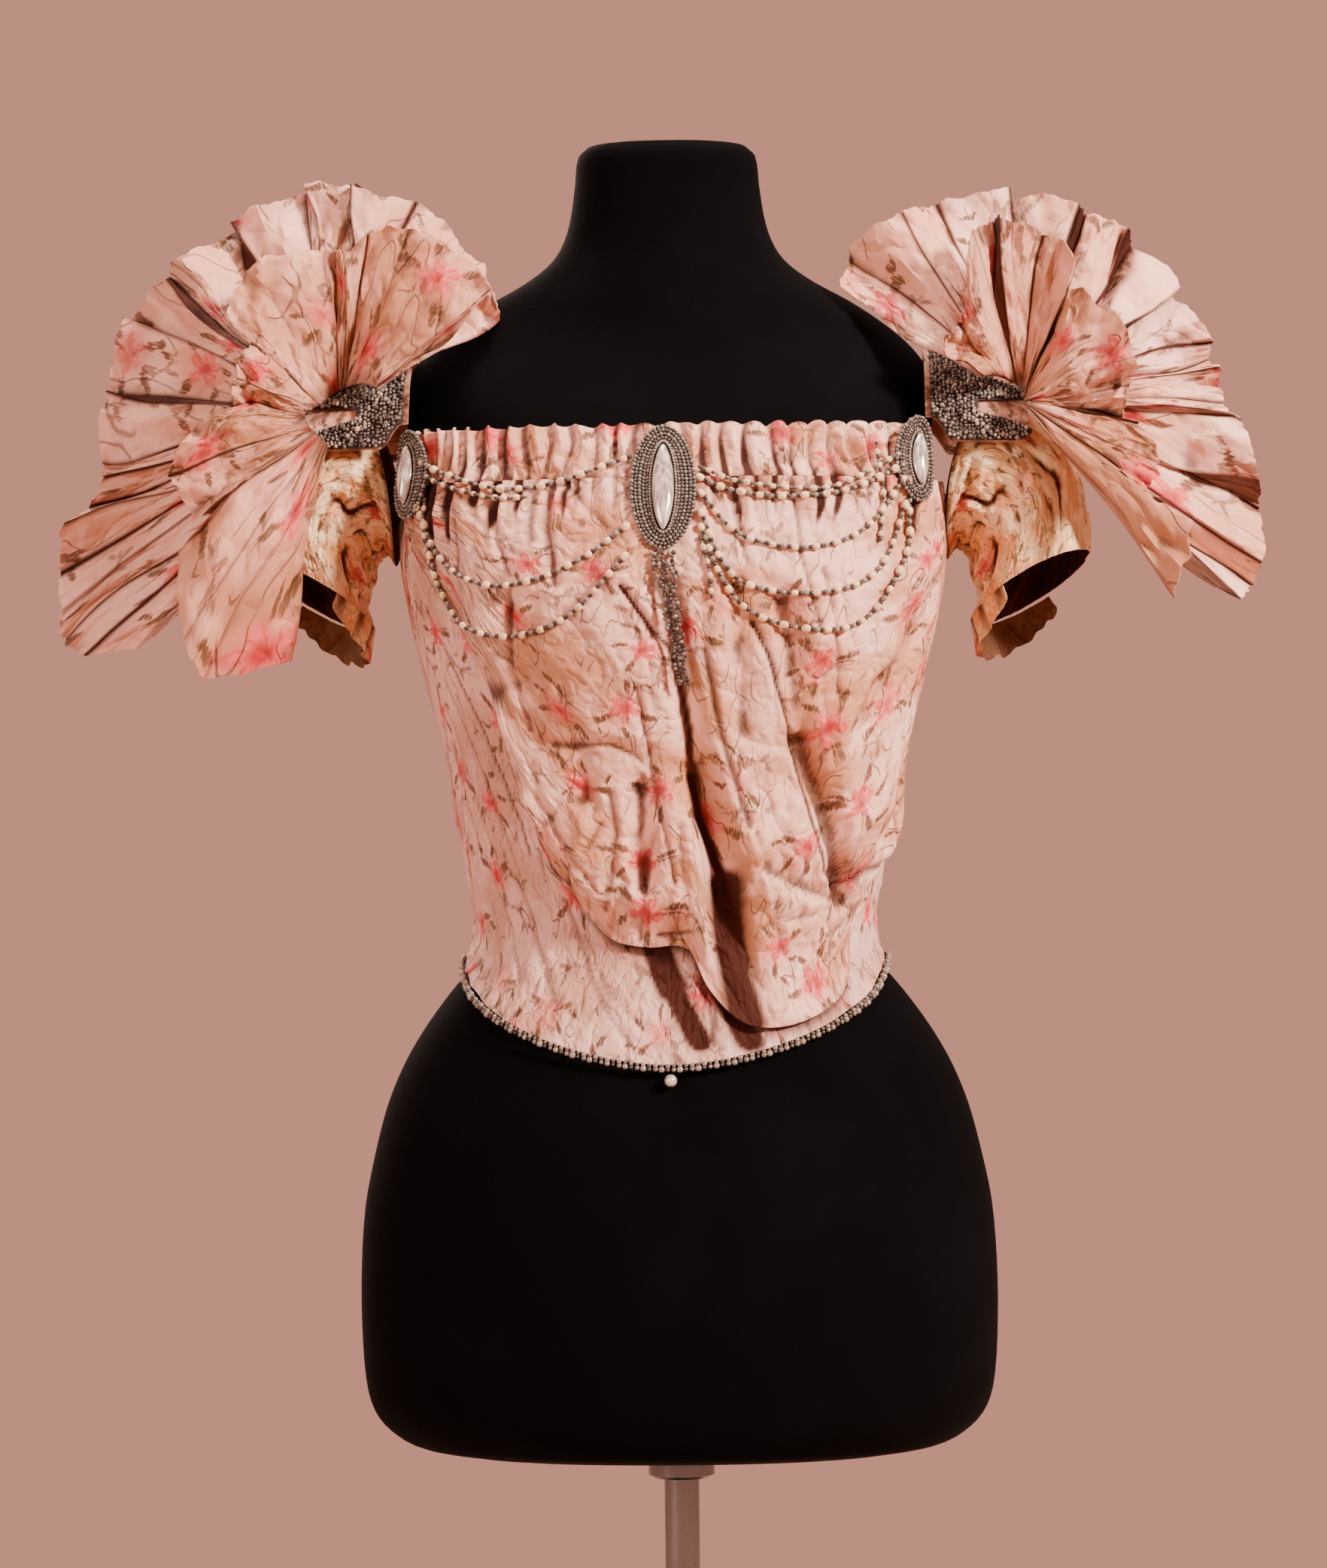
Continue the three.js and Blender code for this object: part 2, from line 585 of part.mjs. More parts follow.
// Beaded tail that hangs from the middle plaque along the main fold.
const TAIL = { from: 708, to: 636, aside: 3.8, width: 12, tip: 4, thick: 2.4, clear: 1.5, beside: 3 };
function tail() {
  const face = (off) => (u, v) => {
    const z = mix(TAIL.from, TAIL.to, v);
    const half = mix(TAIL.width, TAIL.tip, v) / 2;
    const angle = mix(0, TAIL.aside, v) + ((u - 0.5) * 2 * half) / DEGREE;
    const { beside } = TAIL;
    const under = Math.max(...[-beside, 0, beside].map((by) => drapeOff(angle + by, z)));
    return around(angle, z, under + CLOTH + TAIL.clear + off);
  };
  return wall(3, 8, face(TAIL.thick), face(0));
}

// Beaded cord along the hem.
const HEM_CORD = { radius: 1.9, below: 2.8, off: EASE + CLOTH / 2 + 0.8, steps: 48, sides: 6 };
const HEM_PEARL = 3.6; // its radius
function hemCord() {
  const { radius, below, steps, sides } = HEM_CORD;
  const points = [];
  const index = [];
  for (let i = 0; i < steps; i++) {
    const angle = (360 * i) / steps - 180;
    for (let k = 0; k < sides; k++) {
      const turn = (2 * Math.PI * k) / sides;
      const ring = around(angle, hemAt(angle) - below, HEM_CORD.off + radius * Math.cos(turn));
      points.push(ring.x, ring.y, ring.z + radius * Math.sin(turn));
      const next = ((i + 1) % steps) * sides;
      const here = i * sides;
      const beside = (k + 1) % sides;
      index.push(here + k, next + k, next + beside, here + k, next + beside, here + beside);
    }
  }
  return closed(points, index);
}

// Lap that covers the hooked opening down the centre back.
const BACK_RISE = NECKLINE.back - NECKLINE.front;
const LAP = { half: 3.6, clear: 1.6, raised: 0.5 };
function backLap() {
  const top = HEADER.bottom + BACK_RISE - HEADER.below;
  const face = (off) => (u, v) => {
    const angle = mix(180 - LAP.half, 180 + LAP.half, u);
    return around(angle, mix(HEM.back + LAP.raised, top, v), EASE + CLOTH + LAP.clear + off);
  };
  return wall(3, 13, face(CLOTH), face(0));
}

// The dress form: one smooth covered body from the neck to the hips.
function dressForm() {
  const sides = 30;
  const ring = (z) =>
    Array.from({ length: sides }, (_, i) => around((360 * i) / sides, z));
  return lofted(FORM.map((row) => ring(row.z)));
}
function roundBase() {
  const { radius, bevel, neck, height, rim, shoulder } = BASE;
  const profile = [
    [0, 0],
    [radius, 0],
    [radius, rim],
    [bevel, shoulder],
    [neck, height],
    [0, height],
  ];
  const outline = profile.map(([r, y]) => new THREE.Vector2(r, y));
  const geometry = new THREE.LatheGeometry(outline, 36);
  return geometry.rotateX(Math.PI / 2);
}
function upright(radius, bottom, top, sides) {
  const geometry = new THREE.CylinderGeometry(radius, radius, top - bottom, sides);
  return geometry.rotateX(Math.PI / 2).translate(0, 0, (top + bottom) / 2);
}

const MATERIALS = {
  silk: { color: 0xe9b9a4, roughness: 0.45, metalness: 0 },
  chiffon: { color: 0xe3b27c, roughness: 0.7, metalness: 0 },
  beads: { color: 0x8d8272, roughness: 0.35, metalness: 0.5 },
  stone: { color: 0xe6e2da, roughness: 0.15, metalness: 0 },
  form: { color: 0x0b0a0d, roughness: 0.9, metalness: 0 },
  steel: { color: 0xa39b93, roughness: 0.3, metalness: 1 },
};
const finishes = Object.fromEntries(
  Object.entries(MATERIALS).map(([name, look]) => [name, new THREE.MeshStandardMaterial(look)]),
);

const bodice = new THREE.Group();
function add(name, geometry, finish) {
  const mesh = new THREE.Mesh(geometry, finishes[finish]);
  mesh.name = name;
  bodice.add(mesh);
}

const collarBottom = FORM_BOTTOM - SEAM - POST.collarHeight;
add("form_body", dressForm(), "form");
add("stand_collar", upright(POST.collar, collarBottom, FORM_BOTTOM - SEAM, 20), "steel");
add("stand_post", upright(POST.radius, BASE.height + SEAM, collarBottom - SEAM, 20), "steel");
add("stand_base", roundBase(), "steel");

for (const [name, side] of [["left", -1], ["right", 1]]) {
  for (const panel of PANELS) add(panel.name + "_" + name, fittedPanel(side, panel), "silk");
  add("strap_" + name, strap(side), "silk");
  add("braid_" + name, braid(side), "beads");
  add("sleeve_" + name, sleeve(side), "chiffon");
  add("cuff_frill_" + name, cuffFrill(side), "chiffon");
  for (const layer of ["outer", "inner"]) {
    add("ruffle_" + name + "_" + layer, ruffle(name, side, layer), "silk");
  }
}
add("back_lap", backLap(), "silk");
add("loose_front", looseFront(), "silk");
const { bottom, top } = HEADER;
add("heading_front", heading(-63, 63, 28, bottom, top), "silk");
add("heading_back", heading(124, 236, 18, bottom + BACK_RISE, top + BACK_RISE), "silk");
for (const [name, place] of Object.entries(PLAQUES)) {
  add("plaque_" + name, plaque(place), "beads");
  add("stone_" + name, stone(place), "stone");
}
add("tail", tail(), "beads");
add("hem_cord", hemCord(), "beads");
const pearlDrop = HEM_CORD.below + HEM_CORD.radius + SEAM + HEM_PEARL;
const pearl = around(0, HEM.point - pearlDrop, HEM_CORD.off);
const bead = new THREE.SphereGeometry(HEM_PEARL, 10, 8).translate(pearl.x, pearl.y, pearl.z);
add("hem_pearl", bead, "stone");

export default bodice;
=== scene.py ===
"""An evening bodice of flowered silk on a black dress form: its looks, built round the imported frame.

Tables and fields are in millimetres and degrees, and meshes are in metres. Angle 0 is the centre
front, which faces -Y, and +90 is the viewer's right. "left" and "right" are the viewer's.
"""

from __future__ import annotations

import logging
import math
from dataclasses import dataclass
from enum import Enum
from typing import Any, Callable, NamedTuple, Sequence

import bpy
import numpy as np
from mathutils import Matrix, Quaternion, Vector

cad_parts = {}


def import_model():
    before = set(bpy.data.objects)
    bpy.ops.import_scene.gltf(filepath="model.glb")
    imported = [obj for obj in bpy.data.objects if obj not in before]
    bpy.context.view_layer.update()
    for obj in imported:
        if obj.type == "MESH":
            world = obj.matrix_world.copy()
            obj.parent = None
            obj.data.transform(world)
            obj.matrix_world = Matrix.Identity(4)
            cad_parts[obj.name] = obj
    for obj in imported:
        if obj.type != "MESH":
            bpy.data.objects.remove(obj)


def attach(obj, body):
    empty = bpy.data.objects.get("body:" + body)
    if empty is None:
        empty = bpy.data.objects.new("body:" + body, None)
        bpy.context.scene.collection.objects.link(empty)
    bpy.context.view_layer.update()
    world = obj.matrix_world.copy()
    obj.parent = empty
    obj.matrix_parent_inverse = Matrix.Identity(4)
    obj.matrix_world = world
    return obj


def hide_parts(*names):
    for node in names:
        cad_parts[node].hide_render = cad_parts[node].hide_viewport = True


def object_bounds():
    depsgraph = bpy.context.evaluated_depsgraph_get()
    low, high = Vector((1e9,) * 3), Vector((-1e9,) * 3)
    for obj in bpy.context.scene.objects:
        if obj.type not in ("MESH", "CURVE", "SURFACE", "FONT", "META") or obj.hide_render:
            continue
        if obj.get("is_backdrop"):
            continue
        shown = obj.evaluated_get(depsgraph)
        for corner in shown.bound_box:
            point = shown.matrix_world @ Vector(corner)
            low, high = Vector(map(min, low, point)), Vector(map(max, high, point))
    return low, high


LOG = logging.getLogger("bodice")
Array = np.ndarray
Colour = tuple[float, float, float]
Pair = tuple[float, float]
MM = 0.001
BODY = "root"

CLOTH = 1.5  # thickness that the frame gives one wall of cloth
SILK = 0.8  # thickness of a wall of cloth here
EASE = 3.4  # from the dress form to the inside of the bodice
SEAM_TURN = 0.03  # degrees left open at each edge of a fitted panel
LATTICE = 64  # corners each way in a lattice of random heights
SOLID_CREASE = 40.0  # degrees between faces of a solid from which their edge is sharp


class Side(Enum):
    """One side of the bodice, with its direction along X."""

    LEFT = -1
    RIGHT = 1

    @property
    def word(self) -> str:
        """Returns the side's name as the frame writes it."""
        return self.name.lower()


class Layer(Enum):
    """One of the two ruffles on a shoulder."""

    OUTER = "outer"
    INNER = "inner"


# ---- numbers


def smooth(t: Array | float) -> Array:
    """Returns a value from 0 to 1 that starts and ends level."""
    t = np.clip(t, 0, 1)
    return t * t * (3 - 2 * t)


def mix(a: Any, b: Any, t: Any) -> Any:
    """Returns the value a share t of the way from a to b."""
    return a + (b - a) * t


def curve(keys: Array, values: Array, at: Array | float) -> Array:
    """Returns the values at some places of a smooth curve through values at rising keys."""
    at = np.clip(np.asarray(at, float), keys[0], keys[-1])
    last = len(keys) - 1
    i = np.clip(np.searchsorted(keys, at, side="right") - 1, 0, last - 1)
    before, after = np.maximum(np.arange(last + 1) - 1, 0), np.minimum(np.arange(last + 1) + 1, last)
    slopes = (values[after] - values[before]) / (keys[after] - keys[before])
    span = keys[i + 1] - keys[i]
    t = (at - keys[i]) / span
    bend = span * t * (1 - t)
    return mix(values[i], values[i + 1], smooth(t)) + bend * ((1 - t) * slopes[i] - t * slopes[i + 1])


def read(rows: Sequence[NamedTuple], column: str, at: Array | float) -> Array:
    """Reads a column of a table on a smooth curve.

    Args:
        rows: The table, with the places of its rows in the first column.
        column: Name of the column.
        at: Places between the rows.

    Returns:
        The column's values there.
    """
    keys, values = ([row[0] for row in rows], [getattr(row, column) for row in rows])
    return curve(np.array(keys, float), np.array(values, float), at)


def cells(x: Array, y: Array, seed: int, wrap: int = LATTICE) -> tuple[Array, Array, list[Array]]:
    """Looks points up in a lattice of random heights, one step of 1 between its corners.

    Args:
        x: Places across.
        y: Places up.
        seed: Chooses the heights.
        wrap: Steps of x after which it repeats.

    Returns:
        How far across and up each point lies in its cell, and the heights at the cell's corners.
    """
    heights = np.random.default_rng(seed).uniform(-1, 1, (LATTICE, LATTICE))
    x, y = np.broadcast_arrays(np.asarray(x, float), np.asarray(y, float))
    i, j = np.floor(x).astype(int), np.floor(y).astype(int)
    return x - i, y - j, [heights[(i + p) % wrap, (j + q) % LATTICE] for q in (0, 1) for p in (0, 1)]


def noise(x: Array, y: Array, seed: int) -> Array:
    """Returns smooth unevenness from -1 to 1, one step of x or y between its bumps."""
    u, v, (a, b, c, d) = cells(x, y, seed)
    return mix(mix(a, b, smooth(u)), mix(c, d, smooth(u)), smooth(v))


def ridged(x: Array, y: Array, seed: int) -> Array:
    """Returns unevenness from -1 to 1 with sharp crests, as in crumpled cloth."""
    return 1 - np.abs(noise(x, y, seed)) * 2


def facets(x: Array, y: Array, seed: int, wrap: int = LATTICE) -> Array:
    """Returns unevenness from -1 to 1 in flat triangles, which repeats after wrap steps of x."""
    u, v, (a, b, c, d) = cells(x, y, seed, wrap)
    return np.where(u > v, a + (b - a) * u + (d - b) * v, a + (c - a) * v + (d - c) * u)


def crumple(x: Array, y: Array, size: float, seed: int) -> Array:
    """Returns crumples from -1 to 1 of about a size, the bent edges of two sizes of facets."""
    bend = noise(x / size * 0.8, y / size * 0.8, seed + 1) * 0.45
    large = facets(x / size + bend, y / size * 0.8 + bend, seed)
    return large * 0.72 + facets(x / size * 2.3 - bend, y / size * 2.1 + bend, seed + 2) * 0.28


def valleys(height: Array, reach: int) -> Array:
    """Returns how deep each point of a grid of heights lies below its surroundings.

    Args:
        height: The grid.
        reach: How many steps each way count as its surroundings.
    """
    around_it = np.pad(height, reach, mode="edge")
    for axis in (0, 1):
        steps = np.cumsum(np.insert(around_it, 0, 0, axis=axis), axis=axis)
        size = steps.shape[axis]
        far = np.take(steps, range(2 * reach + 1, size), axis=axis)
        around_it = (far - np.take(steps, range(size - 2 * reach - 1), axis=axis)) / (2 * reach + 1)
    return around_it - height


def grid(columns: int, rows: int, round_trip: bool = False) -> tuple[Array, Array]:
    """Returns how far across and how far up each point of a grid is.

    Args:
        columns: Steps across.
        rows: Steps up.
        round_trip: Whether the last column is the first again and is left out.
    """
    across = np.linspace(0, 1, columns + 1)[: columns if round_trip else columns + 1]
    return np.meshgrid(across, np.linspace(0, 1, rows + 1))


# ---- the figure


class FormRow(NamedTuple):
    """Half width of the dress form at a height, and its depth before and behind the post."""

    z: float
    half: float
    front: float
    back: float


FORM = [
    FormRow(*row)
    for row in (
        (199, 128, 78, 82), (203, 150, 94, 98), (210, 164, 103, 108), (221, 174.5, 110, 115),
        (237, 180, 115, 120), (269, 182.5, 118.5, 125), (305, 182.5, 119.5, 127), (340, 180, 118, 126),
        (366, 175, 115, 122), (392, 168.5, 110, 116), (409, 162.5, 106, 111), (426, 154.5, 101, 105),
        (444, 143.5, 95.5, 98), (461, 131, 89.5, 90.5), (474, 120.5, 85, 84.5), (487, 113.5, 82.5, 80.5),
        (500, 111, 82, 79), (515, 112, 83, 79.5), (530, 114.8, 85, 81), (565, 121, 92, 87),
        (600, 126.5, 102, 93), (640, 136.5, 114, 99), (680, 146, 121, 103), (705, 150, 120, 105),
        (735, 151, 112, 106), (765, 148.5, 100, 104), (790, 151, 87, 99), (806, 152, 77, 91),
        (820, 147, 69, 81), (833, 136.5, 63, 71), (845, 122, 59.5, 62), (857, 104, 57.5, 55),
        (868, 84, 56, 49.5), (879, 69, 55, 47), (890, 61, 54, 46), (905, 56, 53, 45.5),
        (925, 53, 51.5, 44.5), (941, 51, 50, 43), (946, 46, 45, 38.5),
    )
]
SQUARENESS = 2.3
NECK_FRONT, NECK_BACK = 778.0, 788.0
NECK_CORNER, NECK_BACK_CORNER = 64.0, 120.0
ARMHOLE_BOTTOM, ARMHOLE_MIDDLE = 706.0, 92.0
HEM_POINT, HEM_SIDE, HEM_BACK, HEM_CURVE = 425.0, 483.0, 476.0, 1.8
HEADING_BOTTOM, HEADING_TOP, HEADING_STAND, HEADING_WAVE = 752.0, 783.0, 5.0, 3.0
BELOW_HEADING = 1.2
BACK_RISE = NECK_BACK - NECK_FRONT


def around(angle: Array | float, z: Array | float, off: Array | float = 0.0) -> Array:
    """Returns points round the figure.

    Args:
        angle: Angle from the centre front.
        z: Height.
        off: Distance off the dress form.
    """
    angle, z, off = np.broadcast_arrays(*(np.asarray(a, float) for a in (angle, z, off)))
    side, fore = np.sin(np.radians(angle)), np.cos(np.radians(angle))
    bulge = (np.abs(side) ** SQUARENESS + np.abs(fore) ** SQUARENESS) ** (-1 / SQUARENESS)
    depth = np.where(fore > 0, read(FORM, "front", z), read(FORM, "back", z)) + off
    return np.stack([(read(FORM, "half", z) + off) * side * bulge, -depth * fore * bulge, z], -1)


def hem_at(angle: Array) -> Array:
    """Returns the height of the hem at an angle."""
    low = np.where(np.cos(np.radians(angle)) > 0, HEM_POINT, HEM_BACK)
    return mix(low, HEM_SIDE, np.abs(np.sin(np.radians(angle))) ** HEM_CURVE)


def top_at(angle: Array) -> Array:
    """Returns the height of the upper edge of the fitted bodice at an angle."""
    turn = np.abs(angle)
    fall = smooth((turn - NECK_CORNER) / (ARMHOLE_MIDDLE - NECK_CORNER))
    rise = smooth((turn - ARMHOLE_MIDDLE) / (NECK_BACK_CORNER - ARMHOLE_MIDDLE))
    before, behind = mix(NECK_FRONT, ARMHOLE_BOTTOM, fall), mix(ARMHOLE_BOTTOM, NECK_BACK, rise)
    return np.where(turn < ARMHOLE_MIDDLE, before, behind)


# ---- meshes


def piece(name: str, points: Array, faces: Sequence, material: bpy.types.Material) -> bpy.types.Object:
    """Makes an object at the origin from points in millimetres.

    Args:
        name: The object's name.
        points: One row for each point.
        faces: Corners of each face, as indices of points.
        material: Its finish.

    Returns:
        The object, smooth but for its sharp edges.
    """
    mesh = bpy.data.meshes.new(name)
    mesh.from_pydata((np.asarray(points).reshape(-1, 3) * MM).tolist(), [], faces)
    mesh.materials.append(material)
    mesh.polygons.foreach_set("use_smooth", [True] * len(mesh.polygons))
    mesh.update()
    made = bpy.data.objects.new(name, mesh)
    bpy.context.scene.collection.objects.link(made)
    return made


def volume_of(points: Array, quads: Array) -> float:
    """Returns six times the volume inside a closed mesh, below 0 where its faces point inward."""
    a, b, c, d = (points[quads[:, k]] for k in range(4))
    return float(np.einsum("ij,ij->", a, np.cross(b, c)) + np.einsum("ij,ij->", a, np.cross(c, d)))


def normals_of(points: Array, round_trip: bool) -> Array:
    """Returns the direction across a grid of points, at each of them."""
    if round_trip:
        wide = np.concatenate([points[:, -1:], points, points[:, :1]], 1)
        across = (wide[:, 2:] - wide[:, :-2]) / 2
    else:
        across = np.gradient(points, axis=1)
    normal = np.cross(across, np.gradient(points, axis=0))
    return normal / np.maximum(np.linalg.norm(normal, axis=-1, keepdims=True), 1e-9)


@dataclass
class Cloth:
    """A wall of cloth on a grid of points, given by its outer face.

    Attributes:
        name: The piece's name.
        outer: Points of the outer face, by row and column.
        size: Width and length of the flat cloth, for its pattern.
        shade: Painted shade at each point, from 0 to 1, darkest deep in its folds.
        centre: A point that the inner face looks at.
        thickness: Thickness of the wall.
        round_trip: Whether the wall closes on itself across.
        origin: Place of the wall's first corner in the pattern.
        inside: Least painted shade of the inner face, which darkens the inside.
        sharp: Degrees between faces from which their edge is a crease.
    """

    name: str
    outer: Array
    size: Pair
    shade: Array | None = None
    centre: Callable[[Array], Array] | None = None
    thickness: float = SILK
    round_trip: bool = False
    origin: Pair = (0.0, 0.0)
    inside: float = 0.0
    sharp: float = 55.0

    def _faces(self) -> tuple[Array, Array, Array]:
        """Returns the side, row and column of each corner of every face, also along the edges."""
        rows, columns = self.outer.shape[:2]
        steps = columns if self.round_trip else columns - 1

        def faces(*corners: tuple[int, Any, Any]) -> Array:
            """Returns one face or more by their corners."""
            return np.stack([np.stack(np.broadcast_arrays(*corner), -1) for corner in corners], 1)

        j, i = (a.ravel() for a in np.meshgrid(np.arange(rows - 1), np.arange(steps), indexing="ij"))
        parts = [
            faces((0, j, i), (0, j, i + 1), (0, j + 1, i + 1), (0, j + 1, i)),
            faces((1, j, i), (1, j + 1, i), (1, j + 1, i + 1), (1, j, i + 1)),
        ]
        i, top = np.arange(steps), rows - 1
        parts.append(faces((0, 0, i), (1, 0, i), (1, 0, i + 1), (0, 0, i + 1)))
        parts.append(faces((0, top, i), (0, top, i + 1), (1, top, i + 1), (1, top, i)))
        if not self.round_trip:
            j, end = np.arange(rows - 1), columns - 1
            parts.append(faces((0, j, 0), (0, j + 1, 0), (1, j + 1, 0), (1, j, 0)))
            parts.append(faces((0, j, end), (1, j, end), (1, j + 1, end), (0, j + 1, end)))
        side, row, column = np.moveaxis(np.concatenate(parts), -1, 0)
        return side, row, column

    def build(self, material: bpy.types.Material) -> bpy.types.Object:
        """Makes the wall.

        Args:
            material: Its finish.

        Returns:
            The object, with the UV map "cloth" in metres and the attribute "fold", which holds its painted
            shade.
        """
        rows, columns = self.outer.shape[:2]
        normal = normals_of(self.outer, self.round_trip)
        middle = self.centre(self.outer) if self.centre else self.outer * (0, 0, 1)
        if np.sum((self.outer - middle) * normal) < 0:
            normal = -normal
        points = np.concatenate([self.outer, self.outer - normal * self.thickness]).reshape(-1, 3)
        side, j, i = self._faces()
        quads = side * rows * columns + j * columns + i % columns
        if volume_of(points, quads) < 0:
            quads, j, i = quads[:, ::-1], j[:, ::-1], i[:, ::-1]
        made = piece(self.name, points, quads.tolist(), material)
        shares = i / (columns if self.round_trip else columns - 1), j / (rows - 1)
        places = [start + share * size for start, share, size in zip(self.origin, shares, self.size)]
        layer = made.data.uv_layers.new(name="cloth")
        layer.data.foreach_set("uv", (np.stack(places, -1) * MM).astype(np.float32).ravel())
        # Painted shade: the attribute "fold" darkens the colour, and the inner face takes at least the shade
        # given by inside.
        shade = np.zeros(rows * columns) if self.shade is None else np.clip(self.shade, 0, 1).ravel()
        attribute = made.data.attributes.new("fold", "FLOAT", "POINT")
        both = np.concatenate([shade, np.maximum(shade, self.inside)])
        attribute.data.foreach_set("value", both.astype(np.float32))
        made.data.set_sharp_from_angle(angle=math.radians(self.sharp))
        return made


def lathe(name: str, profile: Sequence[Pair], sides: int, material: bpy.types.Material) -> bpy.types.Object:
    """Makes a round solid.

    Args:
        name: The object's name.
        profile: Radius and height of each ring, from the bottom up.
        sides: Faces round it.
        material: Its finish.
    """
    turn = np.linspace(0, 2 * np.pi, sides, endpoint=False)
    rings = [np.stack([r * np.cos(turn), r * np.sin(turn), turn * 0 + z], -1) for r, z in profile]
    return loft(name, np.array(rings), material)


def loft(name: str, rings: Array, material: bpy.types.Material) -> bpy.types.Object:
    """Makes a solid through rings of points, closed by a face at each end."""
    count, sides = rings.shape[:2]
    quads = [
        [j * sides + i, j * sides + (i + 1) % sides, (j + 1) * sides + (i + 1) % sides, (j + 1) * sides + i]
        for j in range(count - 1)
        for i in range(sides)
    ]
    points = rings.reshape(-1, 3)
    turned = volume_of(points, np.array(quads)) < 0
    ends = [list(range(sides))[::-1], [(count - 1) * sides + i for i in range(sides)]]
    faces = [face[::-1] if turned else face for face in [*quads, *ends]]
    made = piece(name, points, faces, material)
    made.data.set_sharp_from_angle(angle=math.radians(SOLID_CREASE))
    return made


# ---- node graphs


def operator(operation: str, turned: bool = False) -> Callable[[Any, Any], "Socket"]:
    """Returns a method that puts its own socket and another value through a Math node."""
    return lambda own, other: own.graph.math(operation, *((other, own) if turned else (own, other)))


class Socket:
    """A node's output that can stand in arithmetic."""

    __add__ = __radd__ = operator("ADD")
    __mul__ = __rmul__ = operator("MULTIPLY")
    __sub__, __rsub__ = operator("SUBTRACT"), operator("SUBTRACT", True)
    __truediv__, __abs__ = operator("DIVIDE"), lambda own: own.graph.math("ABSOLUTE", own)

    def __init__(self, graph: "Graph", link: bpy.types.NodeSocket) -> None:
        """Wraps a socket of a graph."""
        self.graph, self.link = graph, link


class Graph:
    """Adds nodes to a tree and links them."""

    def __init__(self, tree: bpy.types.NodeTree) -> None:
        """Starts on a tree."""
        self.tree = tree

    def node(self, kind: str, settings: dict[str, Any], sockets: dict[Any, Any], output: Any = 0) -> Socket:
        """Adds a node.

        Args:
            kind: The node's type.
            settings: Its own settings, with a ramp's stops under "stops".
            sockets: Values or links by the input's name or number.
            output: Name or number of the output that is wanted.

        Returns:
            That output.
        """
        made = self.tree.nodes.new(kind)
        for name, value in settings.items():
            if name == "stops":
                ramp = made.color_ramp.elements
                for place, (at, colour) in enumerate(value):
                    stop = ramp[place] if place < 2 else ramp.new(at)
                    stop.position, stop.color = at, (*colour, 1)
            else:
                setattr(made, name, value)
        for name, value in sockets.items():
            if isinstance(value, Socket):
                self.tree.links.new(value.link, made.inputs[name])
            else:
                made.inputs[name].default_value = value
        return Socket(self, made.outputs[output])

    def math(self, operation: str, *values: Any) -> Socket:
        """Adds a Math node."""
        return self.node("ShaderNodeMath", {"operation": operation}, dict(enumerate(values)))

    def vector(self, operation: str, *values: Any) -> Socket:
        """Adds a Vector Math node."""
        return self.node("ShaderNodeVectorMath", {"operation": operation}, dict(enumerate(values)))

    def scaled(self, value: Socket, by: float) -> Socket:
        """Scales a vector."""
        return self.node("ShaderNodeVectorMath", {"operation": "SCALE"}, {0: value, "Scale": by})

    def blend(self, share: Any, a: Any, b: Any) -> Socket:
        """Mixes two colours by a share."""
        colours = {0: share, 6: rgba(a), 7: rgba(b)}
        return self.node("ShaderNodeMix", {"data_type": "RGBA"}, colours, 2)

    def step(self, value: Any, low: float, high: float) -> Socket:
        """Returns 0 at low and 1 at high, smooth between them."""
        sockets = {"Value": value, "From Min": low, "From Max": high}
        return self.node("ShaderNodeMapRange", {"interpolation_type": "SMOOTHSTEP"}, sockets)

    def cloud(self, place: Any, scale: float, detail: float = 2.0) -> Socket:
        """Returns soft noise from 0 to 1, its bumps one part in scale apart."""
        return self.node("ShaderNodeTexNoise", {}, {"Vector": place, "Scale": scale, "Detail": detail})

    def place(self) -> Socket:
        """Returns places on the object, in metres."""
        return self.node("ShaderNodeTexCoord", {}, {}, "Object")

    def attribute(self, name: str) -> Socket:
        """Returns an attribute of the mesh."""
        return self.node("ShaderNodeAttribute", {"attribute_name": name}, {}, "Fac")

    def apart(self, value: Socket) -> tuple[Socket, Socket]:
        """Returns the first two numbers of a vector."""
        first = self.node("ShaderNodeSeparateXYZ", {}, {"Vector": value})
        return first, Socket(self, first.link.node.outputs[1])

    def stretch(self, place: Any, by: tuple[float, float, float], turn: float = 0.0) -> Socket:
        """Scales a place along its axes after a turn in degrees."""
        sockets = {"Vector": place, "Scale": by, "Rotation": (0, 0, math.radians(turn))}
        return self.node("ShaderNodeMapping", {"vector_type": "POINT"}, sockets)


def rgba(value: Any) -> Any:
    """Returns a colour with its alpha, or a link as it is."""
    return (*value, 1) if isinstance(value, tuple) else value


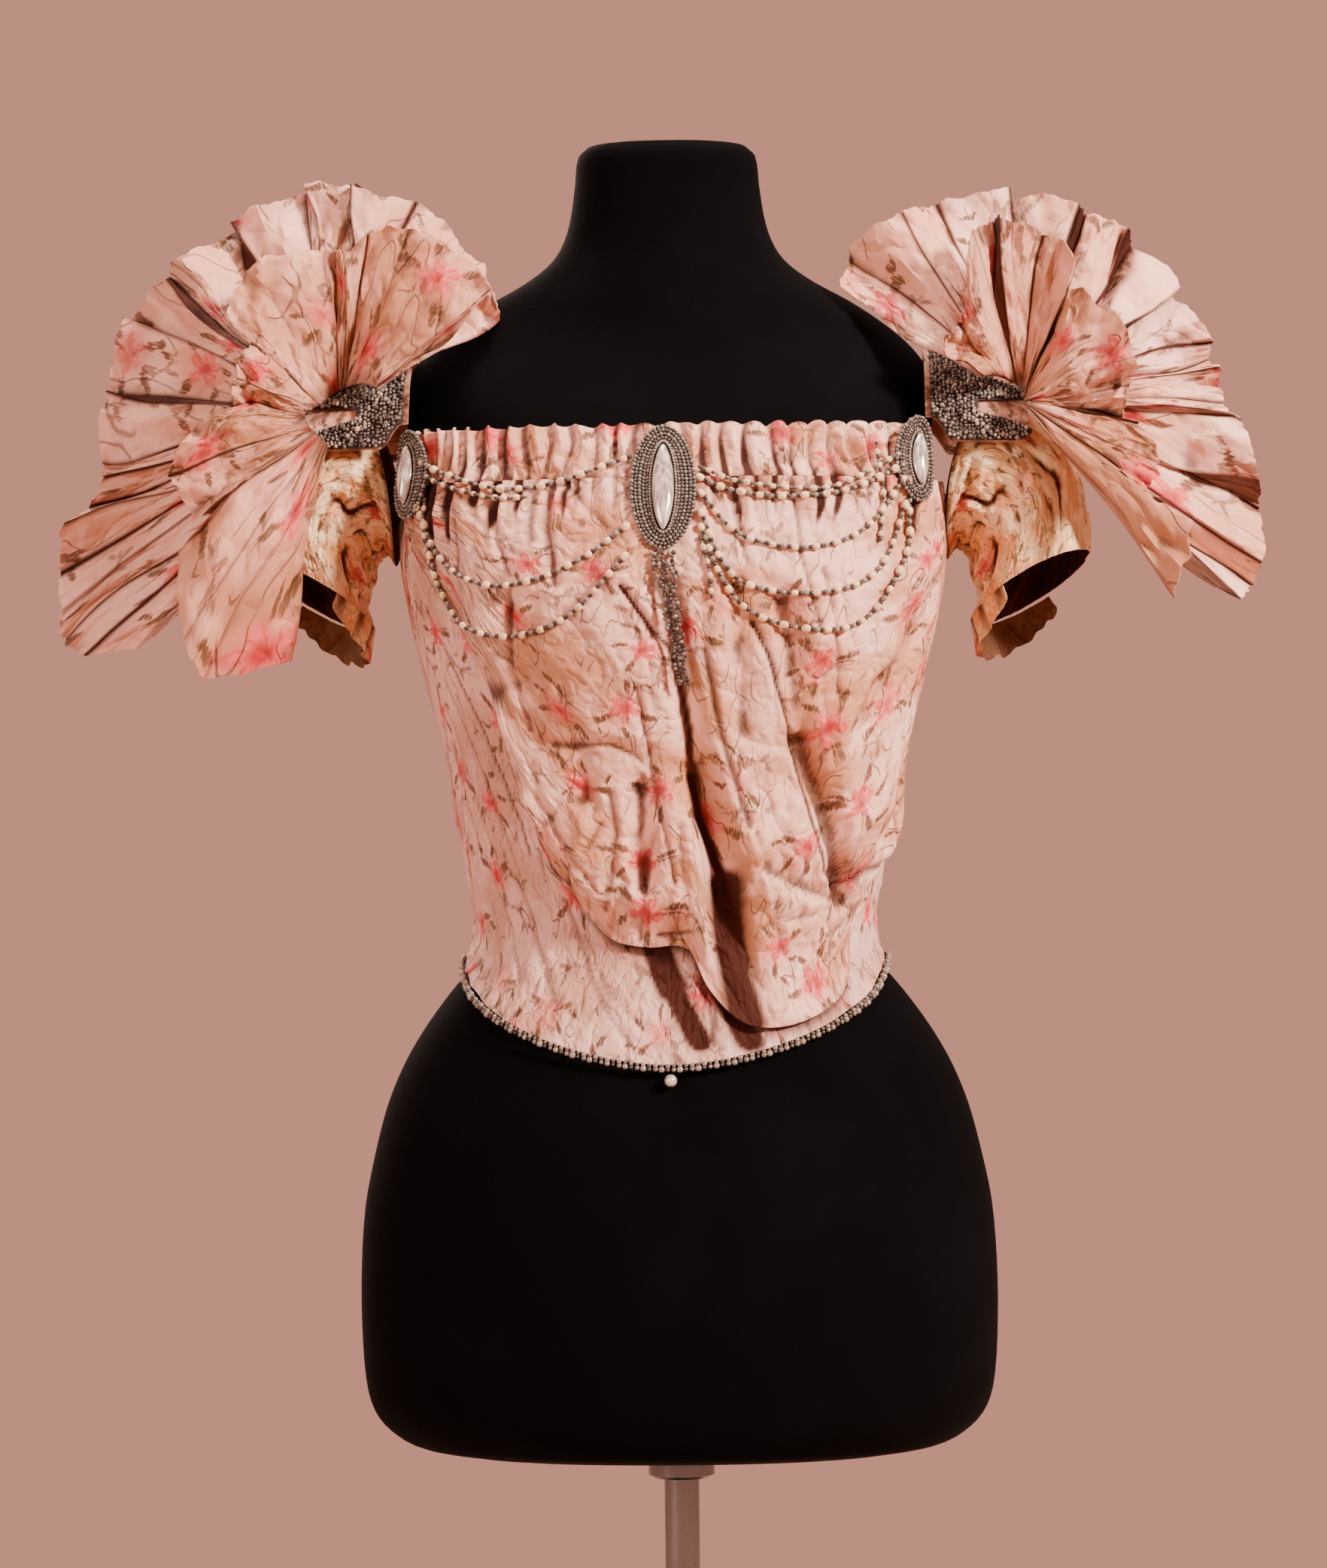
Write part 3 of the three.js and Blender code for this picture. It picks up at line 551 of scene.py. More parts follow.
class Finish:
    """A finish that makes its material once."""

    _made: dict[str, bpy.types.Material] = {}

    def material(self) -> bpy.types.Material:
        """Returns the finish's material."""
        name = self.name  # type: ignore[attr-defined]
        if name not in self._made:
            made = bpy.data.materials.new(name)
            made.use_nodes = True
            graph = Graph(made.node_tree)
            self.paint(graph, made.node_tree.nodes["Principled BSDF"])
            self._made[name] = made
        return self._made[name]

    def paint(self, graph: Graph, shader: bpy.types.Node) -> None:
        """Sets the shader's sockets."""
        raise NotImplementedError

    @staticmethod
    def put(graph: Graph, shader: bpy.types.Node, **sockets: Any) -> None:
        """Gives the shader's sockets values or links, by their names with _ for a space."""
        for name, value in sockets.items():
            socket = shader.inputs[name.replace("_", " ")]
            if isinstance(value, Socket):
                graph.tree.links.new(value.link, socket)
            else:
                socket.default_value = rgba(value)

    @staticmethod
    def bump(graph: Graph, height: Socket, distance: float, under: Socket | None = None) -> Socket:
        """Returns a bumped normal.

        Args:
            graph: The material's graph.
            height: Height from 0 to 1.
            distance: Height in metres that 1 stands for.
            under: A normal to add it to.
        """
        sockets: dict[Any, Any] = {"Height": height, "Distance": distance, "Strength": 1.0}
        if under:
            sockets["Normal"] = under
        return graph.node("ShaderNodeBump", {}, sockets)


class Leaf(NamedTuple):
    """A leaf or a stem of a printed spray: its place, direction, and half sizes."""

    x: float
    y: float
    turn: float
    half: float
    width: float


class Print:
    """Roses and twigs printed on the warp, so that they blur along it."""

    def __init__(self, graph: Graph, blur: float) -> None:
        """Starts at the cloth's own UV map.

        Args:
            graph: The material's graph.
            blur: How many millimetres a thread may slip along the cloth.
        """
        self.graph = graph
        flat = graph.node("ShaderNodeUVMap", {"uv_map": "cloth"}, {})
        self.cloth = graph.scaled(flat, 1 / MM)
        slip = graph.cloud(graph.stretch(self.cloth, (1.4, 0.05, 1)), 1.0, 3.0) - 0.5
        shift = graph.node("ShaderNodeCombineXYZ", {}, {"Y": slip * (2 * blur)})
        wander = graph.vector("SUBTRACT", self.wander(0.08), (0.5, 0.5, 0.5))
        bent = graph.vector("MULTIPLY", wander, (7.0, 7.0, 0.0))
        self.place = graph.vector("ADD", graph.vector("ADD", self.cloth, shift), bent)

    def wander(self, scale: float) -> Socket:
        """Returns a soft random vector."""
        return self.graph.node("ShaderNodeTexNoise", {}, {"Vector": self.cloth, "Scale": scale}, "Color")

    def motifs(self, apart: float, offset: float) -> tuple[Socket, Socket, Socket]:
        """Scatters motifs.

        Args:
            apart: Millimetres between them.
            offset: Moves the scatter, so that two of them differ.

        Returns:
            Where a point is from its motif, in millimetres across and up, and a random number.
        """
        graph = self.graph
        moved = graph.vector("ADD", self.place, (offset, offset * 0.6, 0))
        cells = graph.vector("DIVIDE", moved, (apart, apart, apart))
        sockets: dict[Any, Any] = {"Vector": cells, "Scale": 1.0, "Randomness": 0.8}
        spots = graph.node("ShaderNodeTexVoronoi", {"voronoi_dimensions": "2D"}, sockets, "Position")
        away = graph.scaled(graph.vector("SUBTRACT", cells, spots), apart)
        turn, luck = graph.apart(Socket(graph, spots.link.node.outputs["Color"]))
        sockets = {"Vector": away, "Angle": turn * (2 * math.pi)}
        turned = graph.node("ShaderNodeVectorRotate", {"rotation_type": "Z_AXIS"}, sockets)
        return *graph.apart(turned), luck

    def bloom(self, x: Socket, y: Socket, radius: float, petals: int) -> tuple[Socket, Socket]:
        """Draws a flower.

        Args:
            x: Millimetres across from its middle.
            y: Millimetres up from its middle.
            radius: Its radius.
            petals: How many petals it has.

        Returns:
            Its mask, and how deep its colour is.
        """
        graph = self.graph
        away = graph.math("SQRT", x * x + y * y)
        angle = graph.math("ARCTAN2", y, x)
        petal = abs(graph.math("COSINE", angle * (petals / 2)))
        edge = away / (petal * 0.58 + 0.42)
        mask = graph.step(edge, radius, radius * 0.7)
        stroke = graph.step(abs(graph.math("SINE", angle * petals + away * 0.3)), 0.5, 0.1)
        rim = graph.step(edge, radius * 0.62, radius * 0.8)
        deep = graph.step(away, radius * 0.5, radius * 0.12)
        deep = graph.math("MAXIMUM", deep, graph.math("MAXIMUM", stroke * 0.65, rim * 0.3))
        return mask, deep

    def leaves(self, x: Socket, y: Socket, leaves: Sequence[Leaf]) -> Socket:
        """Returns the mask of a motif's leaves.

        Args:
            x: Millimetres across from the motif's middle.
            y: Millimetres up from it.
            leaves: The leaves.
        """
        whole = None
        for leaf in leaves:
            along, aside = math.cos(math.radians(leaf.turn)), math.sin(math.radians(leaf.turn))
            u = (x - leaf.x) * (along / leaf.half) + (y - leaf.y) * (aside / leaf.half)
            v = (y - leaf.y) * (along / leaf.width) - (x - leaf.x) * (aside / leaf.width)
            mask = self.graph.step(u * u + v * v, 1.0, 0.45)
            whole = self.graph.math("MAXIMUM", whole, mask) if whole else mask
        return whole


SPRAY = [
    Leaf(15, 3, 18, 7.0, 2.6),
    Leaf(-12, 9, 140, 6.5, 2.6),
    Leaf(-7, -15, 248, 8.0, 2.3),
    Leaf(20, 11, 62, 5.5, 1.9),
    Leaf(4, 15, 100, 6.0, 2.0),
    Leaf(11, 1, 8, 11.0, 0.9),
    Leaf(-8, -10, 236, 12.0, 0.9),
]
TWIG = [
    Leaf(0, 0, 12, 12, 1.0),
    Leaf(5, 4, 62, 4.8, 1.7),
    Leaf(-3, -3.5, 235, 4.8, 1.8),
    Leaf(9, -1.5, -35, 4.6, 1.6),
    Leaf(-8, 2, 150, 4.2, 1.6),
]


@dataclass(frozen=True)
class FloweredSilk(Finish):
    """Warp-printed silk taffeta with a satin sheen.

    Attributes:
        name: The material's name.
        light: Ground colour where the cloth is palest.
        warm: Ground colour where it is most worn and yellowed.
        fold: Colour of the painted shade deep in a fold.
        rose: Outer colour of a flower.
        crimson: Its heart.
        leaf: Colour of the leaves.
        strength: How strong the print is.
        roughness: How matt the cloth is.
        patch: Size of its warm patches, in millimetres.
        crease: Size of its crumples, in millimetres.
        veins: How dark the painted shade in its finest creases is.
        smooth: Share of it that they leave free.
    """

    name: str
    light: Colour = (0.89, 0.515, 0.395)
    warm: Colour = (0.58, 0.265, 0.15)
    fold: Colour = (0.042, 0.007, 0.0016)
    rose: Colour = (0.74, 0.13, 0.12)
    crimson: Colour = (0.44, 0.012, 0.022)
    leaf: Colour = (0.12, 0.052, 0.02)
    strength: float = 1.0
    roughness: float = 0.4
    patch: float = 52.0
    crease: float = 24.0
    veins: float = 0.55
    smooth: float = 0.47

    def paint(self, graph: Graph, shader: bpy.types.Node) -> None:
        """Sets the ground, the print, the painted shade of the folds and the weave."""
        design = Print(graph, 3.0)
        cloth = design.cloth
        stain = graph.step(graph.cloud(cloth, 1 / self.patch, 4.0), 0.4, 0.57)
        colour = graph.blend(stain, self.warm, self.light)
        slub = graph.cloud(graph.stretch(cloth, (0.08, 1.1, 1)), 1.0, 2.0)
        colour = graph.blend(graph.step(slub, 0.3, 0.75) * 0.2, colour, self.warm)
        broken = graph.step(graph.cloud(graph.stretch(cloth, (1.3, 0.16, 1)), 1.0, 2.0), 0.25, 0.5)
        x, y, luck = design.motifs(38.0, 140.0)
        twig = design.leaves(x, y, TWIG) * graph.step(luck, 0.3, 0.34)
        colour = graph.blend(twig * broken * (0.66 * self.strength), colour, self.leaf)
        x, y, luck = design.motifs(50.0, 0.0)
        size = luck * 0.5 + 0.72
        x, y = x / size, y / size
        spray = design.leaves(x, y, SPRAY)
        colour = graph.blend(spray * broken * (0.92 * self.strength), colour, self.leaf)
        halo = graph.step(graph.math("SQRT", x * x + y * y), 16.0, 6.0)
        colour = graph.blend(halo * (0.3 * self.strength), colour, self.rose)
        mask, deep = design.bloom(x, y, 11.0, 5)
        shown = mask * graph.step(luck, 0.12, 0.2) * (broken * 0.3 + 0.7)
        flower = graph.blend(deep, self.rose, self.crimson)
        colour = graph.blend(shown * (0.92 * self.strength), colour, flower)
        warped = graph.vector("ADD", cloth, graph.scaled(design.wander(0.05), 7.0))
        vein = abs(graph.cloud(graph.stretch(warped, (2.4, 0.7, 1), 12.0), 1 / self.crease, 0.0) - 0.5)
        bare = graph.step(graph.cloud(cloth, 1 / self.crease, 2.0), self.smooth, self.smooth + 0.08)
        vein = graph.step(vein, 0.014, 0.002) * bare
        # Painted shade: the attribute "fold" and the finest crease lines darken the colour toward the fold
        # colour.
        depth = graph.math("MAXIMUM", graph.step(graph.attribute("fold"), 0.05, 0.95), vein * self.veins)
        colour = graph.blend(depth, colour, self.fold)
        weave = graph.cloud(graph.stretch(cloth, (0.35, 3.4, 1)), 1.0, 1.0)
        large = graph.cloud(graph.stretch(warped, (1.0, 0.7, 1), 20.0), 1 / self.crease, 1.0)
        small = graph.cloud(graph.stretch(warped, (1.0, 0.8, 1), -35.0), 2.4 / self.crease, 1.5)
        crush = abs(large - 0.5) + abs(small - 0.5) * 0.4
        normal = self.bump(graph, crush, 0.52 * self.crease * MM)
        normal = self.bump(graph, vein, -0.0006, normal)
        normal = self.bump(graph, weave, 0.00012, normal)
        rough = graph.cloud(cloth, 0.09, 2.0) * 0.14 + (self.roughness - 0.07) + depth * 0.4
        self.put(graph, shader, Base_Color=colour, Roughness=rough, Normal=normal)
        self.put(graph, shader, Specular_IOR_Level=0.22)


@dataclass(frozen=True)
class Chiffon(FloweredSilk):
    """Crinkled cream chiffon of the sleeves, with brown painted shade in its folds."""

    light: Colour = (0.96, 0.72, 0.42)
    warm: Colour = (0.84, 0.46, 0.20)
    # Brown of the painted shade in the folds.
    fold: Colour = (0.075, 0.016, 0.003)
    leaf: Colour = (0.13, 0.06, 0.018)
    strength: float = 0.85
    roughness: float = 0.6
    patch: float = 20.0
    crease: float = 11.0
    veins: float = 0.8
    smooth: float = 0.34


@dataclass(frozen=True)
class Beads(Finish):
    """Small glass beads, from dark bronze over grey to cream, by their attribute "tint"."""

    name: str
    dark: Colour = (0.035, 0.018, 0.01)
    grey: Colour = (0.17, 0.14, 0.12)
    silver: Colour = (0.33, 0.28, 0.235)
    cream: Colour = (0.87, 0.60, 0.34)
    roughness: float = 0.28
    metal: float = 0.3

    def paint(self, graph: Graph, shader: bpy.types.Node) -> None:
        """Sets the colours of the beads and their gloss."""
        tint = graph.attribute("tint")
        stops = [(0.0, self.dark), (1.0, self.cream), (0.35, self.grey), (0.7, self.silver)]
        colour = graph.node("ShaderNodeValToRGB", {"stops": stops}, {"Fac": tint}, "Color")
        place = graph.place()
        tarnish = graph.step(graph.cloud(place, 260.0, 2.0), 0.4, 0.7)
        colour = graph.blend(tarnish * 0.35, colour, self.dark)
        metal = graph.step(tint, 0.85, 0.6) * self.metal
        rough = tarnish * 0.18 + self.roughness
        self.put(graph, shader, Base_Color=colour, Metallic=metal, Roughness=rough, Coat_Weight=0.4)


@dataclass(frozen=True)
class Matt(Finish):
    """A plain matt colour: the pale floor, and the dark net that the beads are sewn on."""

    name: str
    colour: Colour
    roughness: float
    shine: float = 0.5
    mesh: float = 0.0

    def paint(self, graph: Graph, shader: bpy.types.Node) -> None:
        """Sets the colour and, on net, its fine mesh."""
        self.put(graph, shader, Base_Color=self.colour, Roughness=self.roughness)
        self.put(graph, shader, Specular_IOR_Level=self.shine)
        if self.mesh:
            holes = graph.cloud(graph.place(), 900.0, 1.0)
            self.put(graph, shader, Normal=self.bump(graph, holes, self.mesh))


@dataclass(frozen=True)
class PearlStone(Finish):
    """A polished pearly stone."""

    name: str
    pale: Colour = (0.90, 0.82, 0.74)
    dusk: Colour = (0.34, 0.28, 0.24)

    def paint(self, graph: Graph, shader: bpy.types.Node) -> None:
        """Sets soft bands along the stone and a glossy coat."""
        place = graph.place()
        bands = graph.cloud(graph.stretch(place, (420.0, 420.0, 40.0)), 1.0, 2.0)
        colour = graph.blend(graph.step(bands, 0.35, 0.7), self.dusk, self.pale)
        self.put(graph, shader, Base_Color=colour, Roughness=0.16, Metallic=0.35, Coat_Weight=1.0)
        self.put(graph, shader, Coat_Roughness=0.05)


@dataclass(frozen=True)
class Jersey(Finish):
    """Matt black jersey stretched over the dress form."""

    name: str
    black: Colour = (0.0007, 0.0006, 0.001)
    dust: Colour = (0.0016, 0.0014, 0.0022)

    def paint(self, graph: Graph, shader: bpy.types.Node) -> None:
        """Sets a fine knit and a little dust."""
        place = graph.place()
        dust = graph.step(graph.cloud(place, 14.0, 4.0), 0.4, 0.75)
        colour = graph.blend(dust, self.black, self.dust)
        knit = graph.cloud(graph.stretch(place, (900.0, 900.0, 420.0)), 1.0, 1.0)
        self.put(graph, shader, Base_Color=colour, Roughness=0.93, Specular_IOR_Level=0.06)
        self.put(graph, shader, Normal=self.bump(graph, knit, 0.0003))


@dataclass(frozen=True)
class Steel(Finish):
    """Drawn steel of the post and the base."""

    name: str
    bright: Colour = (0.24, 0.25, 0.25)
    dull: Colour = (0.13, 0.135, 0.135)

    def paint(self, graph: Graph, shader: bpy.types.Node) -> None:
        """Sets fine draw marks and duller patches."""
        place = graph.place()
        marks = graph.cloud(graph.stretch(place, (900.0, 900.0, 14.0)), 1.0, 2.0)
        patch = graph.step(graph.cloud(place, 9.0, 3.0), 0.35, 0.7)
        self.put(graph, shader, Base_Color=graph.blend(patch, self.bright, self.dull), Metallic=1.0)
        self.put(graph, shader, Roughness=marks * 0.12 + 0.2, Normal=self.bump(graph, marks, 0.00004))


SILK_FRONT = FloweredSilk("flowered_silk")
SILK_SIDE = FloweredSilk("dusky_silk", light=(0.77, 0.47, 0.39), warm=(0.57, 0.31, 0.225), crease=15.0)
SILK_SOFT = FloweredSilk("soft_silk", light=(0.87, 0.52, 0.41), warm=(0.70, 0.355, 0.245), crease=30.0)
SILK_PALE = FloweredSilk("pale_silk", light=(0.92, 0.555, 0.435), warm=(0.77, 0.37, 0.25), crease=30.0)
# The inner ruffles' silk is darker and browner, partly its own deeper tone and partly painted shade.
SILK_DEEP_AND_SHADED = FloweredSilk("deep_and_shaded_silk", light=(0.72, 0.36, 0.25), warm=(0.50, 0.22, 0.12), crease=30.0)
SLEEVE_CHIFFON = Chiffon("cream_chiffon")
BEADS = Beads("glass_beads")
NET = Matt("bead_net", (0.035, 0.02, 0.014), 0.8, mesh=0.0004)
STONE = PearlStone("pearl_stone")
JERSEY = Jersey("black_jersey")
STEEL = Steel("drawn_steel")
FLOOR = Matt("pale_floor", (0.50, 0.29, 0.22), 0.95, shine=0.1)


# ---- beads


class Beading:
    """Sets beads on the points of a carrier with Geometry Nodes, and turns them into a plain mesh."""

    def __init__(self) -> None:
        """Builds the tree."""
        self.tree = bpy.data.node_groups.new("beading", "GeometryNodeTree")
        face = self.tree.interface
        face.new_socket(name="Geometry", in_out="INPUT", socket_type="NodeSocketGeometry")
        face.new_socket(name="Geometry", in_out="OUTPUT", socket_type="NodeSocketGeometry")
        self.inputs = {
            name: face.new_socket(name=name, in_out="INPUT", socket_type=kind).identifier
            for name, kind in (
                ("Length", "NodeSocketFloat"),
                ("Unevenness", "NodeSocketFloat"),
                ("Seed", "NodeSocketInt"),
                ("Fineness", "NodeSocketInt"),
                ("Material", "NodeSocketMaterial"),
            )
        }
        graph = Graph(self.tree)
        start = graph.node("NodeGroupInput", {}, {}).link.node
        given = {socket.name: Socket(graph, socket) for socket in start.outputs if socket.name}
        bead = graph.node("GeometryNodeMeshIcoSphere", {}, {"Radius": 1.0, "Subdivisions": given["Fineness"]})
        bead = graph.node("GeometryNodeSetShadeSmooth", {}, {"Geometry": bead})
        size, along, tint = (
            graph.node("GeometryNodeInputNamedAttribute", {"data_type": kind}, {"Name": name})
            for name, kind in (("size", "FLOAT"), ("along", "FLOAT_VECTOR"), ("tint", "FLOAT"))
        )
        random = {"Min": 1.0 - given["Unevenness"], "Max": 1.0 + given["Unevenness"]}
        luck = graph.node("FunctionNodeRandomValue", {"data_type": "FLOAT"}, {}, 1)
        for name, value in random.items():
            target = [s for s in luck.link.node.inputs if s.name == name and s.type == "VALUE"][0]
            self.tree.links.new(value.link, target)
        self.tree.links.new(given["Seed"].link, luck.link.node.inputs["Seed"])
        wide = size * luck
        shape = graph.node("ShaderNodeCombineXYZ", {}, {0: wide, 1: wide, 2: wide * given["Length"]})
        turn = graph.node("FunctionNodeAlignRotationToVector", {"axis": "Z"}, {"Vector": along})
        points = graph.node("GeometryNodeMeshToPoints", {}, {"Mesh": given["Geometry"]})
        sockets = {"Points": points, "Instance": bead, "Rotation": turn, "Scale": shape}
        beads = graph.node("GeometryNodeInstanceOnPoints", {}, sockets)
        settings = {"data_type": "FLOAT", "domain": "INSTANCE"}
        stored = {"Geometry": beads, "Name": "tint", "Value": tint}
        beads = graph.node("GeometryNodeStoreNamedAttribute", settings, stored)
        beads = graph.node("GeometryNodeRealizeInstances", {}, {"Geometry": beads})
        beads = graph.node("GeometryNodeSetMaterial", {}, {"Geometry": beads, "Material": given["Material"]})
        end = self.tree.nodes.new("NodeGroupOutput")
        self.tree.links.new(beads.link, end.inputs["Geometry"])

    def string(
        self, name: str, beads: "BeadList", length: float = 1.0, uneven: float = 0.1, fineness: int = 2
    ) -> bpy.types.Object:
        """Makes one piece of many beads.

        Args:
            name: The piece's name.
            beads: Where they are, and their sizes and tints.
            length: How long a bead is for its width.
            uneven: How much their sizes vary.
            fineness: How finely a bead is divided.

        Returns:
            The beads as a plain mesh.
        """
        carrier = bpy.data.objects.new(name + "_carrier", bpy.data.meshes.new(name + "_carrier"))
        carrier.data.from_pydata((beads.points * MM).tolist(), [], [])
        for key, kind, values in (
            ("size", "FLOAT", beads.sizes * MM),
            ("tint", "FLOAT", beads.tints),
            ("along", "FLOAT_VECTOR", beads.along),
        ):
            attribute = carrier.data.attributes.new(key, kind, "POINT")
            field = "vector" if kind == "FLOAT_VECTOR" else "value"
            attribute.data.foreach_set(field, np.asarray(values, np.float32).ravel())
        bpy.context.scene.collection.objects.link(carrier)
        modifier = carrier.modifiers.new("beading", "NODES")
        modifier.node_group = self.tree
        settings = {"Length": length, "Unevenness": uneven, "Seed": len(name), "Fineness": fineness}
        settings["Material"] = BEADS.material()
        for key, value in settings.items():
            modifier[self.inputs[key]] = value
        view = bpy.context.evaluated_depsgraph_get()
        mesh = bpy.data.meshes.new_from_object(
            carrier.evaluated_get(view), preserve_all_data_layers=True, depsgraph=view
        )
        carrier.modifiers.clear()
        bpy.data.objects.remove(carrier)
        mesh.name = name
        made = bpy.data.objects.new(name, mesh)
        bpy.context.scene.collection.objects.link(made)
        return made


@dataclass
class BeadList:
    """Beads to be strung: middles, half widths, tints and directions."""

    points: Array
    sizes: Array
    tints: Array
    along: Array

    @staticmethod
    def joined(lists: Sequence["BeadList"]) -> "BeadList":
        """Returns several lists as one."""
        parts = zip(*((b.points, b.sizes, b.tints, b.along) for b in lists))
        return BeadList(*(np.concatenate(list(part)) for part in parts))

    @staticmethod
    def on_path(path: Array, apart: float, sizes: Sequence[float], tints: Sequence[float]) -> "BeadList":
        """Strings beads along a path.

        Args:
            path: Points of the path, close together.
            apart: Millimetres between beads.
            sizes: Half widths of one repeat.
            tints: Tints of one repeat.
        """
        steps = np.linalg.norm(np.diff(path, axis=0), axis=1)
        run = np.concatenate([[0], np.cumsum(steps)])
        count = max(2, int(run[-1] / apart) + 1)
        places = np.linspace(0, run[-1], count)
        points = np.stack([np.interp(places, run, path[:, k]) for k in range(3)], -1)
        along = np.gradient(points, axis=0)
        pick = np.arange(count) % len(sizes)
        return BeadList(points, np.array(sizes)[pick], np.array(tints)[pick], along)


def finish_piece(made: bpy.types.Object, slot: str, *nodes: str) -> bpy.types.Object:
    """Puts a piece on the body and hides the nodes that it stands for."""
    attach(made, BODY)
    if nodes:
        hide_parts(*nodes)
    faces = sum(len(p.vertices) - 2 for p in made.data.polygons)
    LOG.info("%s: %d triangles", made.name, faces)
    return made


def sew(cloth: Cloth, finish: Finish, slot: str, node: str, held: str, *rests_on: str) -> None:
    """Args:
        cloth: The wall, with the size of its cut.
        finish: Its silk or chiffon.
        slot: The frame's slot for it; not used.
        node: The node that it stands for.
        held: How the cloth is held; not used.
        rests_on: Names of the pieces that it lies on; not used.
    """
    made = finish_piece(cloth.build(finish.material()), slot, node)
    area, cut = sum(p.area for p in made.data.polygons) / 2, tuple(side * MM for side in cloth.size)
    LOG.info("%s: cloth %.4f m2, share of its cut %.2f", made.name, area, area / (cut[0] * cut[1]))


# ---- dress form and stand


@dataclass
class DressForm:
    """The black form with its cover, post and base.

    Attributes:
        sides: Faces round the form.
        rows: Rings up the form.
        post: Radius of the post.
        collar: Radius and height of the collar under the form.
        base: Radius and height of the base.
        bevel: Bevel of the collar.
        gap: Gap between two parts of the stand.
        seams: Angles of the cover's seams.
        seam_depth: Their depth.
        seam_width: Degrees that one takes to each side.
    """

    sides: int = 112
    rows: int = 120
    post: float = 10.0
    collar: Pair = (19.0, 16.0)
    base: Pair = (150.0, 12.0)
    bevel: float = 1.5
    gap: float = 0.3
    seams: tuple[float, ...] = (38.0, -38.0, 90.0, -90.0, 146.0, -146.0, 180.0)
    seam_depth: float = 0.7
    seam_width: float = 2.2

    def build(self) -> None:
        """Makes the form and its stand."""
        order = np.linspace(0, len(FORM) - 1, self.rows)
        heights = np.interp(order, range(len(FORM)), [row.z for row in FORM])
        turn = np.linspace(0, 360, self.sides, endpoint=False)
        z, angle = np.meshgrid(heights, turn, indexing="ij")
        off_seams = [(angle - seam + 180) % 360 - 180 for seam in self.seams]
        dips = sum(np.exp(-((away / self.seam_width) ** 2)) for away in off_seams)
        rings = around(angle, z, -self.seam_depth * dips)
        finish_piece(loft("dress_form", rings, JERSEY.material()), "form", "form_body")
        (radius, height), (width, thick), edge = self.collar, self.base, self.bevel
        top = FORM[0].z - self.gap
        bottom = top - height
        inner = radius - edge
        collar = [(inner, bottom), (radius, bottom + edge), (radius, top - edge), (inner, top)]
        post = [(self.post, thick + self.gap), (self.post, bottom - self.gap)]
        rim = [(width - 1, 0), (width, 1), (width, 2.4), (width - 2, 3.6), (width - 15, 6)]
        base = [*rim, (60, 9.4), (20, thick)]
        for name, outline in (("collar", collar), ("post", post), ("base", base)):
            finish_piece(lathe("form_" + name, outline, 96, STEEL.material()), "steel", "stand_" + name)


# ---- fitted bodice


class Panel(NamedTuple):
    """One fitted panel of each half: its angles, its cut width and length, and its steps."""

    name: str
    start: float
    end: float
    width: float
    length: float
    columns: int
    rows: int


PANELS = [
    Panel("front", 0, 72, 190, 345, 88, 130),
    Panel("side", 72, 112, 90, 245, 40, 84),
    Panel("back", 112, 178.75, 170, 320, 56, 96),
]


